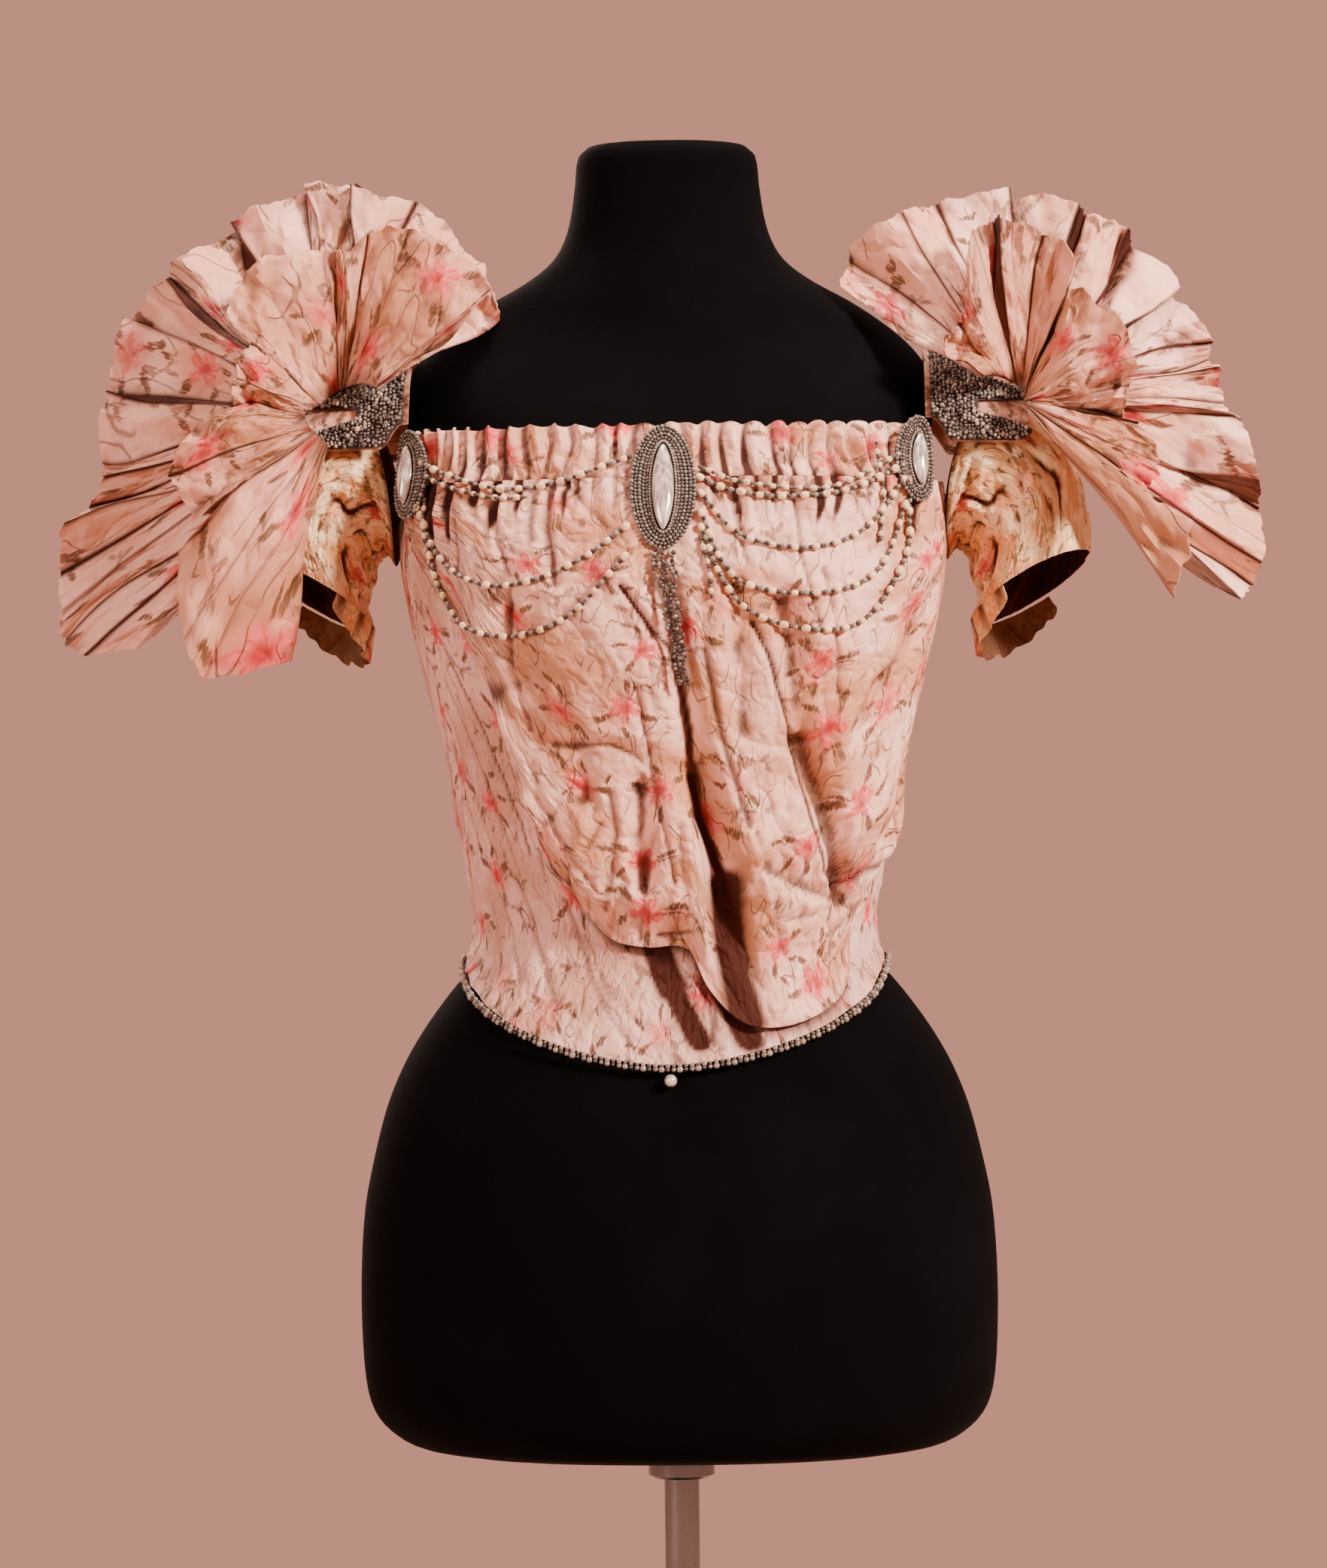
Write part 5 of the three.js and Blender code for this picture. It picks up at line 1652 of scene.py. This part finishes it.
@dataclass
class Sleeve:
    """A short puffed sleeve of crinkled chiffon with a frill behind its edge.

    Attributes:
        side: Which arm.
        tilt: How much lower the back of the cuff hangs than its front.
        tucks: How many tucks run along it.
        tuck_depth: Their depth.
        cut: Width round the arm and length of its cut.
        thick: Thickness of the chiffon.
        middle: Distance out and height of its middle.
        frill: Angles round the cuff between which the frill shows.
        frill_cut: Width and length of the frill's cut.
        frill_waves: How many gathers the frill has.
        frill_length: How far it hangs.
        frill_flare: How much it widens.
        frill_ends: Share of its length that its ends have.
    """

    side: Side
    tilt: float = 0.2
    tucks: int = 9
    tuck_depth: float = 1.6
    cut: Pair = (380.0, 105.0)
    thick: float = 0.7
    middle: Pair = (192.0, 735.0)
    frill: Pair = (160.0, 330.0)
    frill_cut: Pair = (170.0, 20.0)
    frill_waves: int = 7
    frill_length: float = 20.0
    frill_flare: float = 4.0
    frill_ends: float = 0.35

    def at(self, around_arm: Array, along: Array, off: Array | float) -> Array:
        """Returns points of the sleeve.

        Args:
            around_arm: Share of the way round, from the front over the top.
            along: Share of the way from the armhole to the cuff.
            off: Distance off the frame's inside.
        """
        row = np.clip(along, 0, 1) * (len(SLEEVE) - 1)
        turn = 2 * np.pi * around_arm
        tuck = self.tuck_depth * np.sin(self.tucks * turn) * np.sin(np.pi * np.minimum(1, along * 1.1))
        y = -(read(SLEEVE, "depth", row) + off + tuck) * np.cos(turn)
        rise = (read(SLEEVE, "height", row) + off + tuck) * np.sin(turn)
        tip = np.radians(read(SLEEVE, "turn", row))
        x = read(SLEEVE, "x", row) + rise * np.sin(tip) - read(SLEEVE, "wrap", row) * np.cos(turn) ** 2
        z = read(SLEEVE, "z", row) + rise * np.cos(tip) - self.tilt * along * y
        return np.stack([self.side.value * x, y, z], -1)

    def _centre(self, points: Array) -> Array:
        """Returns the sleeve's middle for each point."""
        return np.zeros_like(points) + (self.side.value * self.middle[0], 0, self.middle[1])

    def build(self) -> None:
        """Makes the sleeve and its frill."""
        across, up = grid(204, 72, round_trip=True)
        turn = 2 * np.pi * across

        def ring(scale: float, seed: int) -> Array:
            """Returns unevenness that closes round the arm."""
            return noise(8 + scale * np.cos(turn), scale * np.sin(turn) + up * scale * 1.1, seed)

        middle = smooth(up / 0.2) * mix(1, 0.5, smooth((up - 0.7) / 0.3))
        bend = ring(3.2, 51) * 0.6
        folds = facets(across * 15 + bend, up * 4.6 + bend, 52, wrap=15)
        crinkle = facets(across * 34 + bend * 2, up * 10.5 - bend, 53, wrap=34)
        lift = (folds * 4.2 + crinkle * 3.0 + ring(15.0, 53) * 0.6 - 3.6) * middle
        # Painted shade in the valleys of the crinkles and near the armhole; inside=1.0 paints the whole inner
        # face in shade.
        narrow, wide = smooth((valleys(lift, 2) - 0.05) / 1.0), smooth((valleys(lift, 6) - 0.3) / 2.4)
        dark = np.maximum(narrow, wide) * middle + (1 - smooth(up / 0.12)) * 0.7
        name = f"sleeve_{self.side.word}"
        cloth = Cloth(
            name + "_puff",
            self.at(across, up, CLOTH + lift),
            self.cut,
            shade=dark * 0.95,
            centre=self._centre,
            round_trip=True,
            thickness=self.thick,
            inside=1.0,
        )
        sew(cloth, SLEEVE_CHIFFON, "chiffon", name, "gathered", f"strap_{self.side.word}_silk")
        self._frill()

    def _frill(self) -> None:
        """Makes the ruched frill behind and under the cuff."""
        across, up = grid(150, 22)
        tip = math.radians(SLEEVE[-1].turn)
        outward = np.array([self.side.value * math.cos(tip), 0, -math.sin(tip)])
        phase = 2 * np.pi * self.frill_waves * across
        ripple = 2.2 * up * np.sin(phase) + noise(across * 40, up * 3.0, 54) * 0.9 * up
        share = mix(self.frill[0], self.frill[1], across) / 360
        edge = self.at(share, np.ones_like(share), CLOTH + ripple + up * self.frill_flare)
        short = mix(self.frill_ends, 1, np.sin(np.pi * across) ** 0.5)
        reach = 0.6 + up * (self.frill_length * short + noise(across * 30, 0.5, 55) * 1.6 - 1.0)
        outer = edge + outward * reach[..., None]
        # Painted shade in the troughs of the gathers, lighter toward the hanging edge; inside=0.8 paints
        # shade on the inner face.
        dark = np.clip(-np.sin(phase) * 0.45 + 0.4, 0, 0.9) * mix(1.0, 0.55, up)
        word = self.side.word
        cloth = Cloth(
            f"cuff_{word}_frill",
            outer,
            self.frill_cut,
            shade=dark,
            centre=self._centre,
            thickness=self.thick,
            inside=0.8,
        )
        sew(cloth, SLEEVE_CHIFFON, "chiffon", f"cuff_frill_{word}", "gathered", f"sleeve_{word}_puff")


# ---- ruffles


# Fold lines of each ruffle, from the neck over the shoulder and down: the angle above outward, the
# distance of the rim from the fan's middle, and how far the rim stands back there.
RUFFLES = {
    (Side.LEFT, Layer.OUTER): (
        (146, 108, -4), (132, 115, 6), (118, 126, -8), (108, 131, 7), (97, 136, -9), (92, 133, 9),
        (84, 139, -8), (79, 133, 8), (64, 135, -9), (59, 130, 8), (47, 134, -6), (42, 133, 8),
        (37, 131, -8), (29, 135, 7), (24, 137, -9), (11, 134, 8), (7, 137, -8), (-6, 138, 8),
        (-10, 141, -9), (-15, 153, 10), (-20, 170, -10), (-26, 185, 9), (-31, 196, -10), (-36, 204, 8),
        (-41, 202, -8), (-47, 172, 6), (-53, 140, 0),
    ),
    (Side.LEFT, Layer.INNER): (
        (148, 96, -5), (141, 112, 4), (130, 118, -4), (112, 112, -7), (102, 106, 5), (97, 92, -6),
        (90, 95, 5), (84, 96, -6), (62, 96, -8), (44, 80, -4), (40, 62, 7), (24, 56, -6),
        (8, 58, 6), (0, 74, -7), (-18, 98, -9), (-30, 96, 6), (-36, 84, 8), (-42, 112, -8),
        (-56, 148, -9), (-66, 164, -6), (-76, 136, 4),
    ),
    (Side.RIGHT, Layer.OUTER): (
        (148, 124, -4), (136, 129, 6), (122, 131, -8), (110, 127, 6), (95, 125, -9), (90, 120, 9),
        (76, 121, -8), (71, 116, 6), (56, 118, -8), (51, 112, 8), (38, 112, -7), (33, 108, 8),
        (20, 112, -8), (15, 108, 7), (8, 112, -7), (3, 111, 8), (-4, 116, -8), (-9, 123, 7),
        (-18, 141, -9), (-23, 148, 8), (-31, 161, -8), (-36, 166, 8), (-43, 165, -6), (-50, 148, 4),
    ),
    (Side.RIGHT, Layer.INNER): (
        (146, 52, -4), (130, 56, 5), (118, 60, -6), (108, 100, -10), (102, 104, 9), (96, 104, -7),
        (84, 94, 4), (72, 84, -9), (66, 70, 8), (52, 68, -7), (30, 68, -9), (8, 60, -6),
        (-6, 54, 8), (-12, 64, -8), (-26, 82, -9), (-35, 84, 7), (-39, 116, -9), (-50, 136, -8),
        (-57, 140, 2),
    ),
}
# How far forward each ruffle stands, at distances from its middle.
LEAN = {
    Layer.OUTER: ((15, -66), (50, -66), (70, -62), (100, -46), (130, -28), (200, -4)),
    Layer.INNER: ((15, -75), (50, -80), (80, -82), (130, -76), (165, -66)),
}
FAN_MIDDLES = {Side.LEFT: (186.0, 789.0), Side.RIGHT: (200.0, 793.0)}
# How far the sewn edge lies from there outward and inward, and how much nearer above and below.
FAN_ROOTS = {Side.LEFT: (18.0, 37.0, 10.0), Side.RIGHT: (6.0, 35.0, 12.0)}


@dataclass
class Ruffle:
    """A pleated ruffle of a shoulder, in crisp folds that radiate from the braid.

    Attributes:
        side: Which shoulder.
        layer: Which of its two ruffles.
        finish: Its silk.
        cut: Length of the strip along its rim, and its width.
        return_most: Widest angle of a fold's hidden return.
        return_seen: Angle of it that shows.
        fine: Steps across between two fold lines.
        rows: Steps out from the sewn edge.
        back: How far the upper part stands back, at the sewn edge and at the rim.
    """

    side: Side
    layer: Layer
    finish: FloweredSilk
    cut: Pair
    return_most: float = 7.0
    return_seen: float = 1.1
    fine: int = 13
    rows: int = 42
    back: Pair = (30.0, 9.0)

    def _fold(self, at: Array, rim: Array, lift: Array, out: Array) -> Array:
        """Returns points on fold lines.

        Args:
            at: Angles of the lines.
            rim: Distances of their rims.
            lift: How far they stand back at the rim.
            out: Share of the way out.
        """
        turn = np.radians(at)
        outward, inward, nearer = FAN_ROOTS[self.side]
        root = mix(outward, inward, (1 - np.cos(turn)) / 2) - nearer * np.abs(np.sin(turn))
        reach = mix(root, rim, out)
        rising, falling = smooth((at - 20) / 60), 1 - smooth((at - 95) / 55)
        sewn_back = rising * falling * mix(*self.back, out)
        x, z = FAN_MIDDLES[self.side]
        y = curve(*np.array(LEAN[self.layer], float).T, reach) + sewn_back + lift * out
        return np.stack([self.side.value * (x + reach * np.cos(turn)), y, z + reach * np.sin(turn)], -1)

    def _pleats(self) -> Array:
        """Returns the fold lines, with each hidden return drawn narrow and uneven lifts."""
        pleats = np.array(RUFFLES[(self.side, self.layer)], float)
        for i in np.flatnonzero(np.abs(np.diff(pleats[:, 0])) <= self.return_most):
            middle = pleats[i : i + 2, 0].mean()
            pleats[i : i + 2, 0] = middle + np.array([0.5, -0.5]) * self.return_seen
        pleats[:, 2] *= np.random.default_rng(len(pleats)).uniform(0.25, 1.1, len(pleats))
        return pleats

    def build(self) -> None:
        """Makes the ruffle."""
        pleats = self._pleats()
        spans = len(pleats) - 1
        across, out = grid(spans * self.fine, self.rows)
        place = across * spans
        i = np.minimum(place.astype(int), spans - 1)
        t = place - i
        at, rim, lift = (mix(pleats[i, k], pleats[i + 1, k], t) for k in range(3))
        wide, _, step = np.moveaxis(np.abs(pleats[i + 1] - pleats[i]), -1, 0)
        broad, bow = smooth((wide - 3) / 8), np.sin(np.pi * t)
        seed = 60 + list(RUFFLES).index((self.side, self.layer)) * 5
        sway = [noise(out * 2.4 + line * 3.7, line * 0.9, seed) * 4.2 for line in (i, i + 1)]
        at = at + mix(*sway, t) * smooth((out - 0.1) / 0.4)
        ragged = noise(place * 5.1, 0.5, seed) * 2.0 + noise(place * 19.0, 0.5, seed + 1) * 0.9
        petals = noise(at * 0.12, 0.5, seed + 6) * 3.5
        rim = rim + (bow * 0.6 * broad + ragged * 1.3 + petals) * smooth((out - 0.5) / 0.5)
        swell = noise(at * 0.05, out * 1.5, seed + 2) * 13.0
        creases = ridged(place * 1.9 + out * 0.8, out * 1.1, seed + 4) ** 3 * 2.2 * broad
        sizes = ((27.0, seed + 1, 10.0), (11.0, seed + 3, 3.4))
        crush = sum(crumple(at * 2.1, out * 92, size, chosen) * depth for size, chosen, depth in sizes)
        crush = crush * mix(0.35, 1, broad)
        lift = lift + (swell + crush - creases) * smooth(out / 0.35) - bow * broad * 3.0
        lift = lift + noise(place * 1.7, 0.5, seed + 3) * 6.0 * smooth((out - 0.75) / 0.25)
        outer = self._fold(at, rim, lift, out)
        outer[..., 1] -= SILK / 2
        # Painted shade: dark lines at the folds' returns, a painted shadow beside each return, and shade near
        # the sewn edge and in the valleys of the crumples.
        drop = smooth(step / 13)
        returns = (1 - smooth((wide - 2) / 2)) * drop
        lines = np.exp(-((np.minimum(t, 1 - t) * wide / 0.5) ** 2)) * mix(0.14, 0.95, drop)
        beside = np.exp(-t * wide / 3.2) * 0.4 * (1 - out * 0.5) * drop
        dark = np.max([returns, lines, beside], axis=0)
        dark = dark * (1.0 + 0.4 * noise(place * 0.7, out * 2.2, seed + 7))
        sewn = (1 - smooth(out / 0.22)) * 0.55
        deep = smooth((valleys(-lift * out, 4) - 0.4) / 3.2) * 0.6
        name = f"ruffle_{self.side.word}_{self.layer.value}"
        cloth = Cloth(
            name + "_silk",
            outer,
            self.cut,
            shade=np.max([dark, sewn, deep], axis=0),
            centre=lambda p: p * (1, 0, 1) + (0, 400, 0),
            origin=(seed * 37.0, seed * 11.0),
            sharp=30.0,
        )
        sew(cloth, self.finish, "silk", name, "folded", f"strap_{self.side.word}_silk")


# ---- jewels


@dataclass
class Plaque:
    """An oval jewelled plaque of beads with a pointed stone.

    Attributes:
        name: Its name in the frame.
        angle: Angle of its middle.
        z: Height of its middle.
        size: Its width and height.
        stone: Width and height of its stone.
        off: Distance of its back off the dress form.
        apart: Millimetres between beads.
    """

    name: str
    angle: float
    z: float
    size: Pair
    stone: Pair
    off: float
    apart: float = 2.15

    def _oval(self, width: Array, height: Array, turn: Array, rise: Array) -> Array:
        """Returns points on an oval, raised from the bodice."""
        before, after = (around(self.angle + by, self.z, self.off) for by in (-0.5, 0.5))
        degree = float(np.linalg.norm(after - before))
        aside, up = width * np.cos(turn) / 2, height * np.sin(turn) / 2
        return around(self.angle + aside / degree, self.z + up, self.off + rise)

    def build(self, beading: Beading) -> None:
        """Makes the plaque's plate, beads and stone."""
        turn = np.linspace(0, 2 * np.pi, 48, endpoint=False)[None, :]
        rings = np.array([(0.3, 0), (0.96, 0), (0.99, 0.5), (0.94, 1.3), (0.3, 1.5)])
        share, rise = rings[:, :1], rings[:, 1:]
        oval = self._oval(self.size[0] * share, self.size[1] * share, turn, rise)
        finish_piece(loft("plate_" + self.name, oval, NET.material()), "beads")
        rows = []
        width, height = self.size[0] - 1.4, self.size[1] - 1.4
        order = 0
        while width > self.stone[0] + 1.5:
            path = np.linspace(0, 2 * np.pi, 240)
            loop = self._oval(width, height, path, 1.6 + 0.5 * math.sin(order * 1.3))
            size = (1.35, 1.1) if order == 0 else (1.12, 0.98)
            tints = (0.5, 0.3) if order % 2 == 0 else (0.18, 0.36)
            rows.append(BeadList.on_path(loop, self.apart if order else 2.5, size, tints))
            width, height, order = width - 2 * self.apart, height - 2 * self.apart, order + 1
        edge = self._oval(self.stone[0] + 2.2, self.stone[1] + 3.4, np.linspace(0, 2 * np.pi, 160), 2.4)
        rows.append(BeadList.on_path(edge, 1.7, (0.85,), (0.68,)))
        made = beading.string(f"plaque_{self.name}_beads", BeadList.joined(rows), uneven=0.14)
        finish_piece(made, "beads", f"plaque_{self.name}")
        self._stone()

    def _stone(self) -> None:
        """Makes the pointed stone."""
        turn = np.linspace(0, 2 * np.pi, 64, endpoint=False)
        aside, rings = np.abs(np.cos(turn)), []
        for step in np.linspace(0, math.pi / 2, 18):
            share, rise = math.cos(step * 0.97), 3.3 + 4.7 * math.sin(step)
            width = share * self.stone[0]
            narrow = np.minimum(width * aside**0.35 / np.maximum(aside, 1e-6), width)
            narrow = narrow * (1 - 0.28 * np.abs(np.sin(turn)) ** 3)
            rings.append(self._oval(narrow, self.stone[1] * share, turn, rise))
        made = loft("gem_" + self.name, np.array(rings), STONE.material())
        finish_piece(made, "stone", "stone_" + self.name)


PLAQUES = [
    Plaque("centre", 0, 745, (36, 70), (12, 48), 17),
    Plaque("left", -57.5, 757, (31, 51), (10, 33), 15),
    Plaque("right", 54.5, 762, (31, 49), (10, 29), 15.4),
]


@dataclass
class Tail:
    """The beaded tail that hangs from the middle plaque along the main fold.

    Attributes:
        front: The loose front that it lies on.
        start: Height of its upper end.
        end: Height of its lower end.
        aside: Angle of its lower end.
        widths: Its width at both ends.
        clear: Gap under its beads.
        strings: How many strings of beads it has.
    """

    front: LooseFront
    start: float = 708.0
    end: float = 636.0
    aside: float = 3.8
    widths: Pair = (12.0, 4.0)
    clear: float = 2.7
    strings: int = 6

    def under(self, angle: Array, z: Array) -> Array:
        """Returns how far the cloth below the tail stands off the dress form."""
        return np.max([self.front.off(angle + by, z, fine=False) for by in (-3.0, 0.0, 3.0)], axis=0)

    def build(self, beading: Beading) -> None:
        """Makes the tail's rows of beads."""
        rows = []
        drop = np.linspace(0, 1, 120)
        z = mix(self.start, self.end, drop)
        for order in range(self.strings):
            share = (order + 0.5) / self.strings * 2 - 1
            half = mix(*self.widths, drop) / 2
            ragged = 0.72 + 0.4 * noise(drop * 9, 0.5, 47)
            angle = mix(0, self.aside, drop) + share * half * ragged / FOLD_DEGREE
            angle = angle + noise(drop * 30, order * 3.1, 48) * 0.8
            path = around(angle, z, self.under(angle, z) + CLOTH + self.clear)
            dark, pale = (2.3, (1.3, 0.95, 1.15), (0.08, 0.3, 0.0)), (2.6, (1.4, 1.0, 1.2), (0.5, 0.05, 0.25))
            rows.append(BeadList.on_path(path, *(dark if abs(share) < 0.4 or order % 2 else pale)))
        made = beading.string("tail_beads", BeadList.joined(rows), uneven=0.2)
        finish_piece(made, "beads", "tail")


class Swag(NamedTuple):
    """One hanging string of beads, through angles and heights."""

    path: tuple[Pair, ...]
    pearls: bool = True


SWAGS = {
    "swags_left": [
        Swag(((-53, 763), (-43.5, 754), (-32, 746), (-21, 748.7), (-12.6, 756), (-6.5, 762))),
        Swag(((-53, 757), (-44, 748), (-33, 741), (-27, 741)), False),
        Swag(((-54, 738), (-47, 708), (-35.6, 692.6), (-25.6, 694), (-15, 706), (-7, 722.8))),
        Swag(((-53, 733), (-46, 683), (-37, 665.6), (-26.7, 665), (-17, 677), (-7, 706))),
        Swag(((-52, 742), (-51.5, 712), (-47, 690)), False),
    ],
    "swags_right": [
        Swag(((7, 750), (12, 744), (20, 739.5), (32, 741), (41, 748), (50, 758))),
        Swag(((7, 756), (14, 748), (24, 744), (34, 746), (49, 764)), False),
        Swag(((7.2, 741), (12, 724), (18, 714), (29, 711), (40, 722), (50, 750))),
        Swag(((7.2, 730), (11, 704), (17, 689.4), (30, 685.6), (42.7, 698), (51, 738))),
        Swag(((7.2, 722), (11.5, 692), (18.5, 673), (31, 665), (42, 673.6), (50, 710), (52, 738))),
        Swag(((43.3, 770), (44.3, 745), (43.6, 716)), False),
        Swag(((7, 716), (8.6, 700), (9.2, 684)), False),
    ],
}


@dataclass
class Swags:
    """The strings of pearls and dark beads that hang between the plaques.

    Attributes:
        front: The loose front that they lie on.
        lift: How far they lie off it.
        apart: Millimetres between pearls.
    """

    front: LooseFront
    lift: float = 1.5
    apart: float = 3.15

    def build(self, beading: Beading) -> None:
        """Makes the strings of each side."""
        for name, swags in SWAGS.items():
            strings = [self._string(swag) for swag in swags]
            made = beading.string(name, BeadList.joined(strings), length=1.3, uneven=0.16)
            finish_piece(made, "beads")

    def _string(self, swag: Swag) -> BeadList:
        """Returns the beads of one string, laid on the cloth."""
        stops = np.array(swag.path, float)
        run = np.linspace(0, len(stops) - 1, 200)
        angle, z = (curve(np.arange(len(stops)), stops[:, k], run) for k in (0, 1))
        off = np.max([self.front.off(angle + by, np.minimum(z, 750.0)) for by in (-0.8, 0.0, 0.8)], axis=0)
        heading = EASE + 2 * CLOTH + HEADING_STAND + HEADING_WAVE
        off = np.where(z > HEADING_BOTTOM - 2, np.maximum(off, heading - CLOTH), off)
        steady = np.convolve(np.pad(off, 12, mode="edge"), np.ones(25) / 25, mode="valid")
        path = around(angle, z, np.maximum(steady, off - 0.6) + CLOTH + self.lift)
        if swag.pearls:
            return BeadList.on_path(path, self.apart, (2.2, 1.3, 1.5, 1.3), (1.0, 0.03, 0.55, 0.03))
        return BeadList.on_path(path, 2.6, (1.3, 1.0, 1.7), (0.1, 0.35, 0.95))


@dataclass
class Hem:
    """The beaded cord along the hem with its hanging pearl.

    Attributes:
        below: How far the cord lies below the hem.
        radius: Radius of the cord.
        off: Distance of its middle off the dress form.
        pearl: Radius of the pearl.
    """

    below: float = 2.8
    radius: float = 1.9
    off: float = EASE + CLOTH / 2 + 0.8
    pearl: float = 3.6

    def build(self, beading: Beading) -> None:
        """Makes the beads of the hem and the pearl."""
        turn = np.linspace(-180, 180, 900)
        rows = []
        large, small = (0.2, 0.6, (1.8, 1.2, 1.5), (0.7, 0.15, 0.5)), (2.2, 1.5, (1.1, 1.4), (0.25, 0.6))
        for lift, out, sizes, tints in (large, small):
            path = around(turn, hem_at(turn) - self.below + lift, self.off + out)
            rows.append(BeadList.on_path(path, 3.4, sizes, tints))
        made = beading.string("hem_beads", BeadList.joined(rows), uneven=0.15)
        finish_piece(made, "beads", "hem_cord")
        drop = self.below + self.radius + 0.3 + self.pearl
        middle = around(0.0, HEM_POINT - drop, self.off)
        steps = np.linspace(-np.pi / 2, np.pi / 2, 18)[1:-1]
        outline = [(self.pearl * math.cos(s), self.pearl * math.sin(s)) for s in steps]
        outline = [(self.pearl * 0.1, -self.pearl), *outline, (self.pearl * 0.1, self.pearl)]
        made = lathe("pearl_drop", outline, 28, STONE.material())
        made.data.transform(Matrix.Translation(Vector(middle * MM)))
        finish_piece(made, "stone", "hem_pearl")


# ---- stage


@dataclass
class Stage:
    """The floor, the studio light and the camera.

    Attributes:
        azimuth: Camera's turn from straight ahead.
        roll: Its tilt to one side.
        distance: Its distance, in metres.
        height: Its height, in metres.
        aside: How far its aim lies to the side, in metres.
        lens: Its focal length.
        floor: Radius of the floor.
        tint: Colour of the lights.
        backdrop: Colour of the surround.
    """

    azimuth: float = 2.0
    roll: float = 0.65
    distance: float = 3.0
    height: float = 0.581
    aside: float = -0.0060
    lens: float = 119.7
    floor: float = 760.0
    tint: Colour = (1.0, 0.83, 0.74)
    backdrop: Colour = (0.68, 0.295, 0.212)

    def build(self) -> None:
        """Makes all of it."""
        self._camera()
        self._lights()
        edge = [(self.floor, -1.0), (self.floor, 0.0)]
        lathe("floor", edge, 128, FLOOR.material())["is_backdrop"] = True

    def _camera(self) -> None:
        """Makes the camera."""
        data = bpy.data.cameras.new("camera")
        data.lens, data.sensor_width, data.sensor_fit = self.lens, 36.0, "AUTO"
        camera = bpy.data.objects.new("camera", data)
        turn = math.radians(self.azimuth)
        aim = Vector((self.aside * math.cos(turn), self.aside * math.sin(turn), self.height))
        place = aim + self.distance * Vector((math.sin(turn), -math.cos(turn), 0))
        camera.location = place
        camera.rotation_mode = "QUATERNION"
        level = (aim - place).to_track_quat("-Z", "Y")
        camera.rotation_quaternion = level @ Quaternion((0, 0, 1), math.radians(-self.roll))
        bpy.context.scene.collection.objects.link(camera)
        bpy.context.scene.camera = camera

    def _lights(self) -> None:
        """Makes large soft lights and a surround of the backdrop's colour."""
        for name, place, size, power in (
            ("key", (2.4, -1.7, 2.0), 0.55, 300.0),
            ("fill", (-2.4, -2.0, 1.1), 1.4, 60.0),
            ("top", (-0.3, 0.1, 2.9), 1.2, 84.0),
            ("rim", (-1.3, 2.4, 1.9), 1.6, 60.0),
        ):
            data = bpy.data.lights.new(name, "AREA")
            data.shape, data.size, data.energy = "DISK", size, power
            data.color = self.tint
            light = bpy.data.objects.new(name, data)
            light.location = place
            aim = Vector((0, 0, self.height)) - Vector(place)
            light.rotation_mode = "QUATERNION"
            light.rotation_quaternion = aim.to_track_quat("-Z", "Y")
            bpy.context.scene.collection.objects.link(light)
        world = bpy.data.worlds.new("surround")
        world.use_nodes = True
        background = world.node_tree.nodes["Background"]
        background.inputs["Color"].default_value = rgba(self.backdrop)
        bpy.context.scene.world = world


# ---- the whole


def corners(bounds: tuple[Vector, Vector]) -> list[list[float]]:
    """Returns a box as plain lists."""
    return [list(corner) for corner in bounds]


def build(frame_box: list[list[float]]) -> None:
    """Builds every sub-assembly.

    Args:
        frame_box: The frame's own box; not used.
    """
    Stage().build()
    beading = Beading()
    front = LooseFront()
    DressForm().build()
    FittedBodice().build()
    front.build()
    Heading("heading_front", -63, 63, 28, HEADING_BOTTOM - 1, HEADING_TOP, 71, front).build()
    Heading("heading_back", 124, 236, 18, HEADING_BOTTOM + BACK_RISE, HEADING_TOP + BACK_RISE, 75).build()
    for side in Side:
        Shoulder(side).build(beading)
        Sleeve(side).build()
    Ruffle(Side.LEFT, Layer.OUTER, SILK_SOFT, (620, 105)).build()
    Ruffle(Side.LEFT, Layer.INNER, SILK_DEEP_AND_SHADED, (440, 78)).build()
    Ruffle(Side.RIGHT, Layer.OUTER, SILK_PALE, (560, 88)).build()
    Ruffle(Side.RIGHT, Layer.INNER, SILK_DEEP_AND_SHADED, (340, 62)).build()
    for plaque in PLAQUES:
        plaque.build(beading)
    Tail(front).build(beading)
    Swags(front).build(beading)
    Hem().build(beading)
    bpy.context.view_layer.update()
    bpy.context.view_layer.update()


def main() -> None:
    """Loads the frame and builds the looks round it."""
    logging.basicConfig(level=logging.INFO, format="%(message)s")
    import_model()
    build(corners(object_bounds()))


if __name__ == "__main__":
    main()
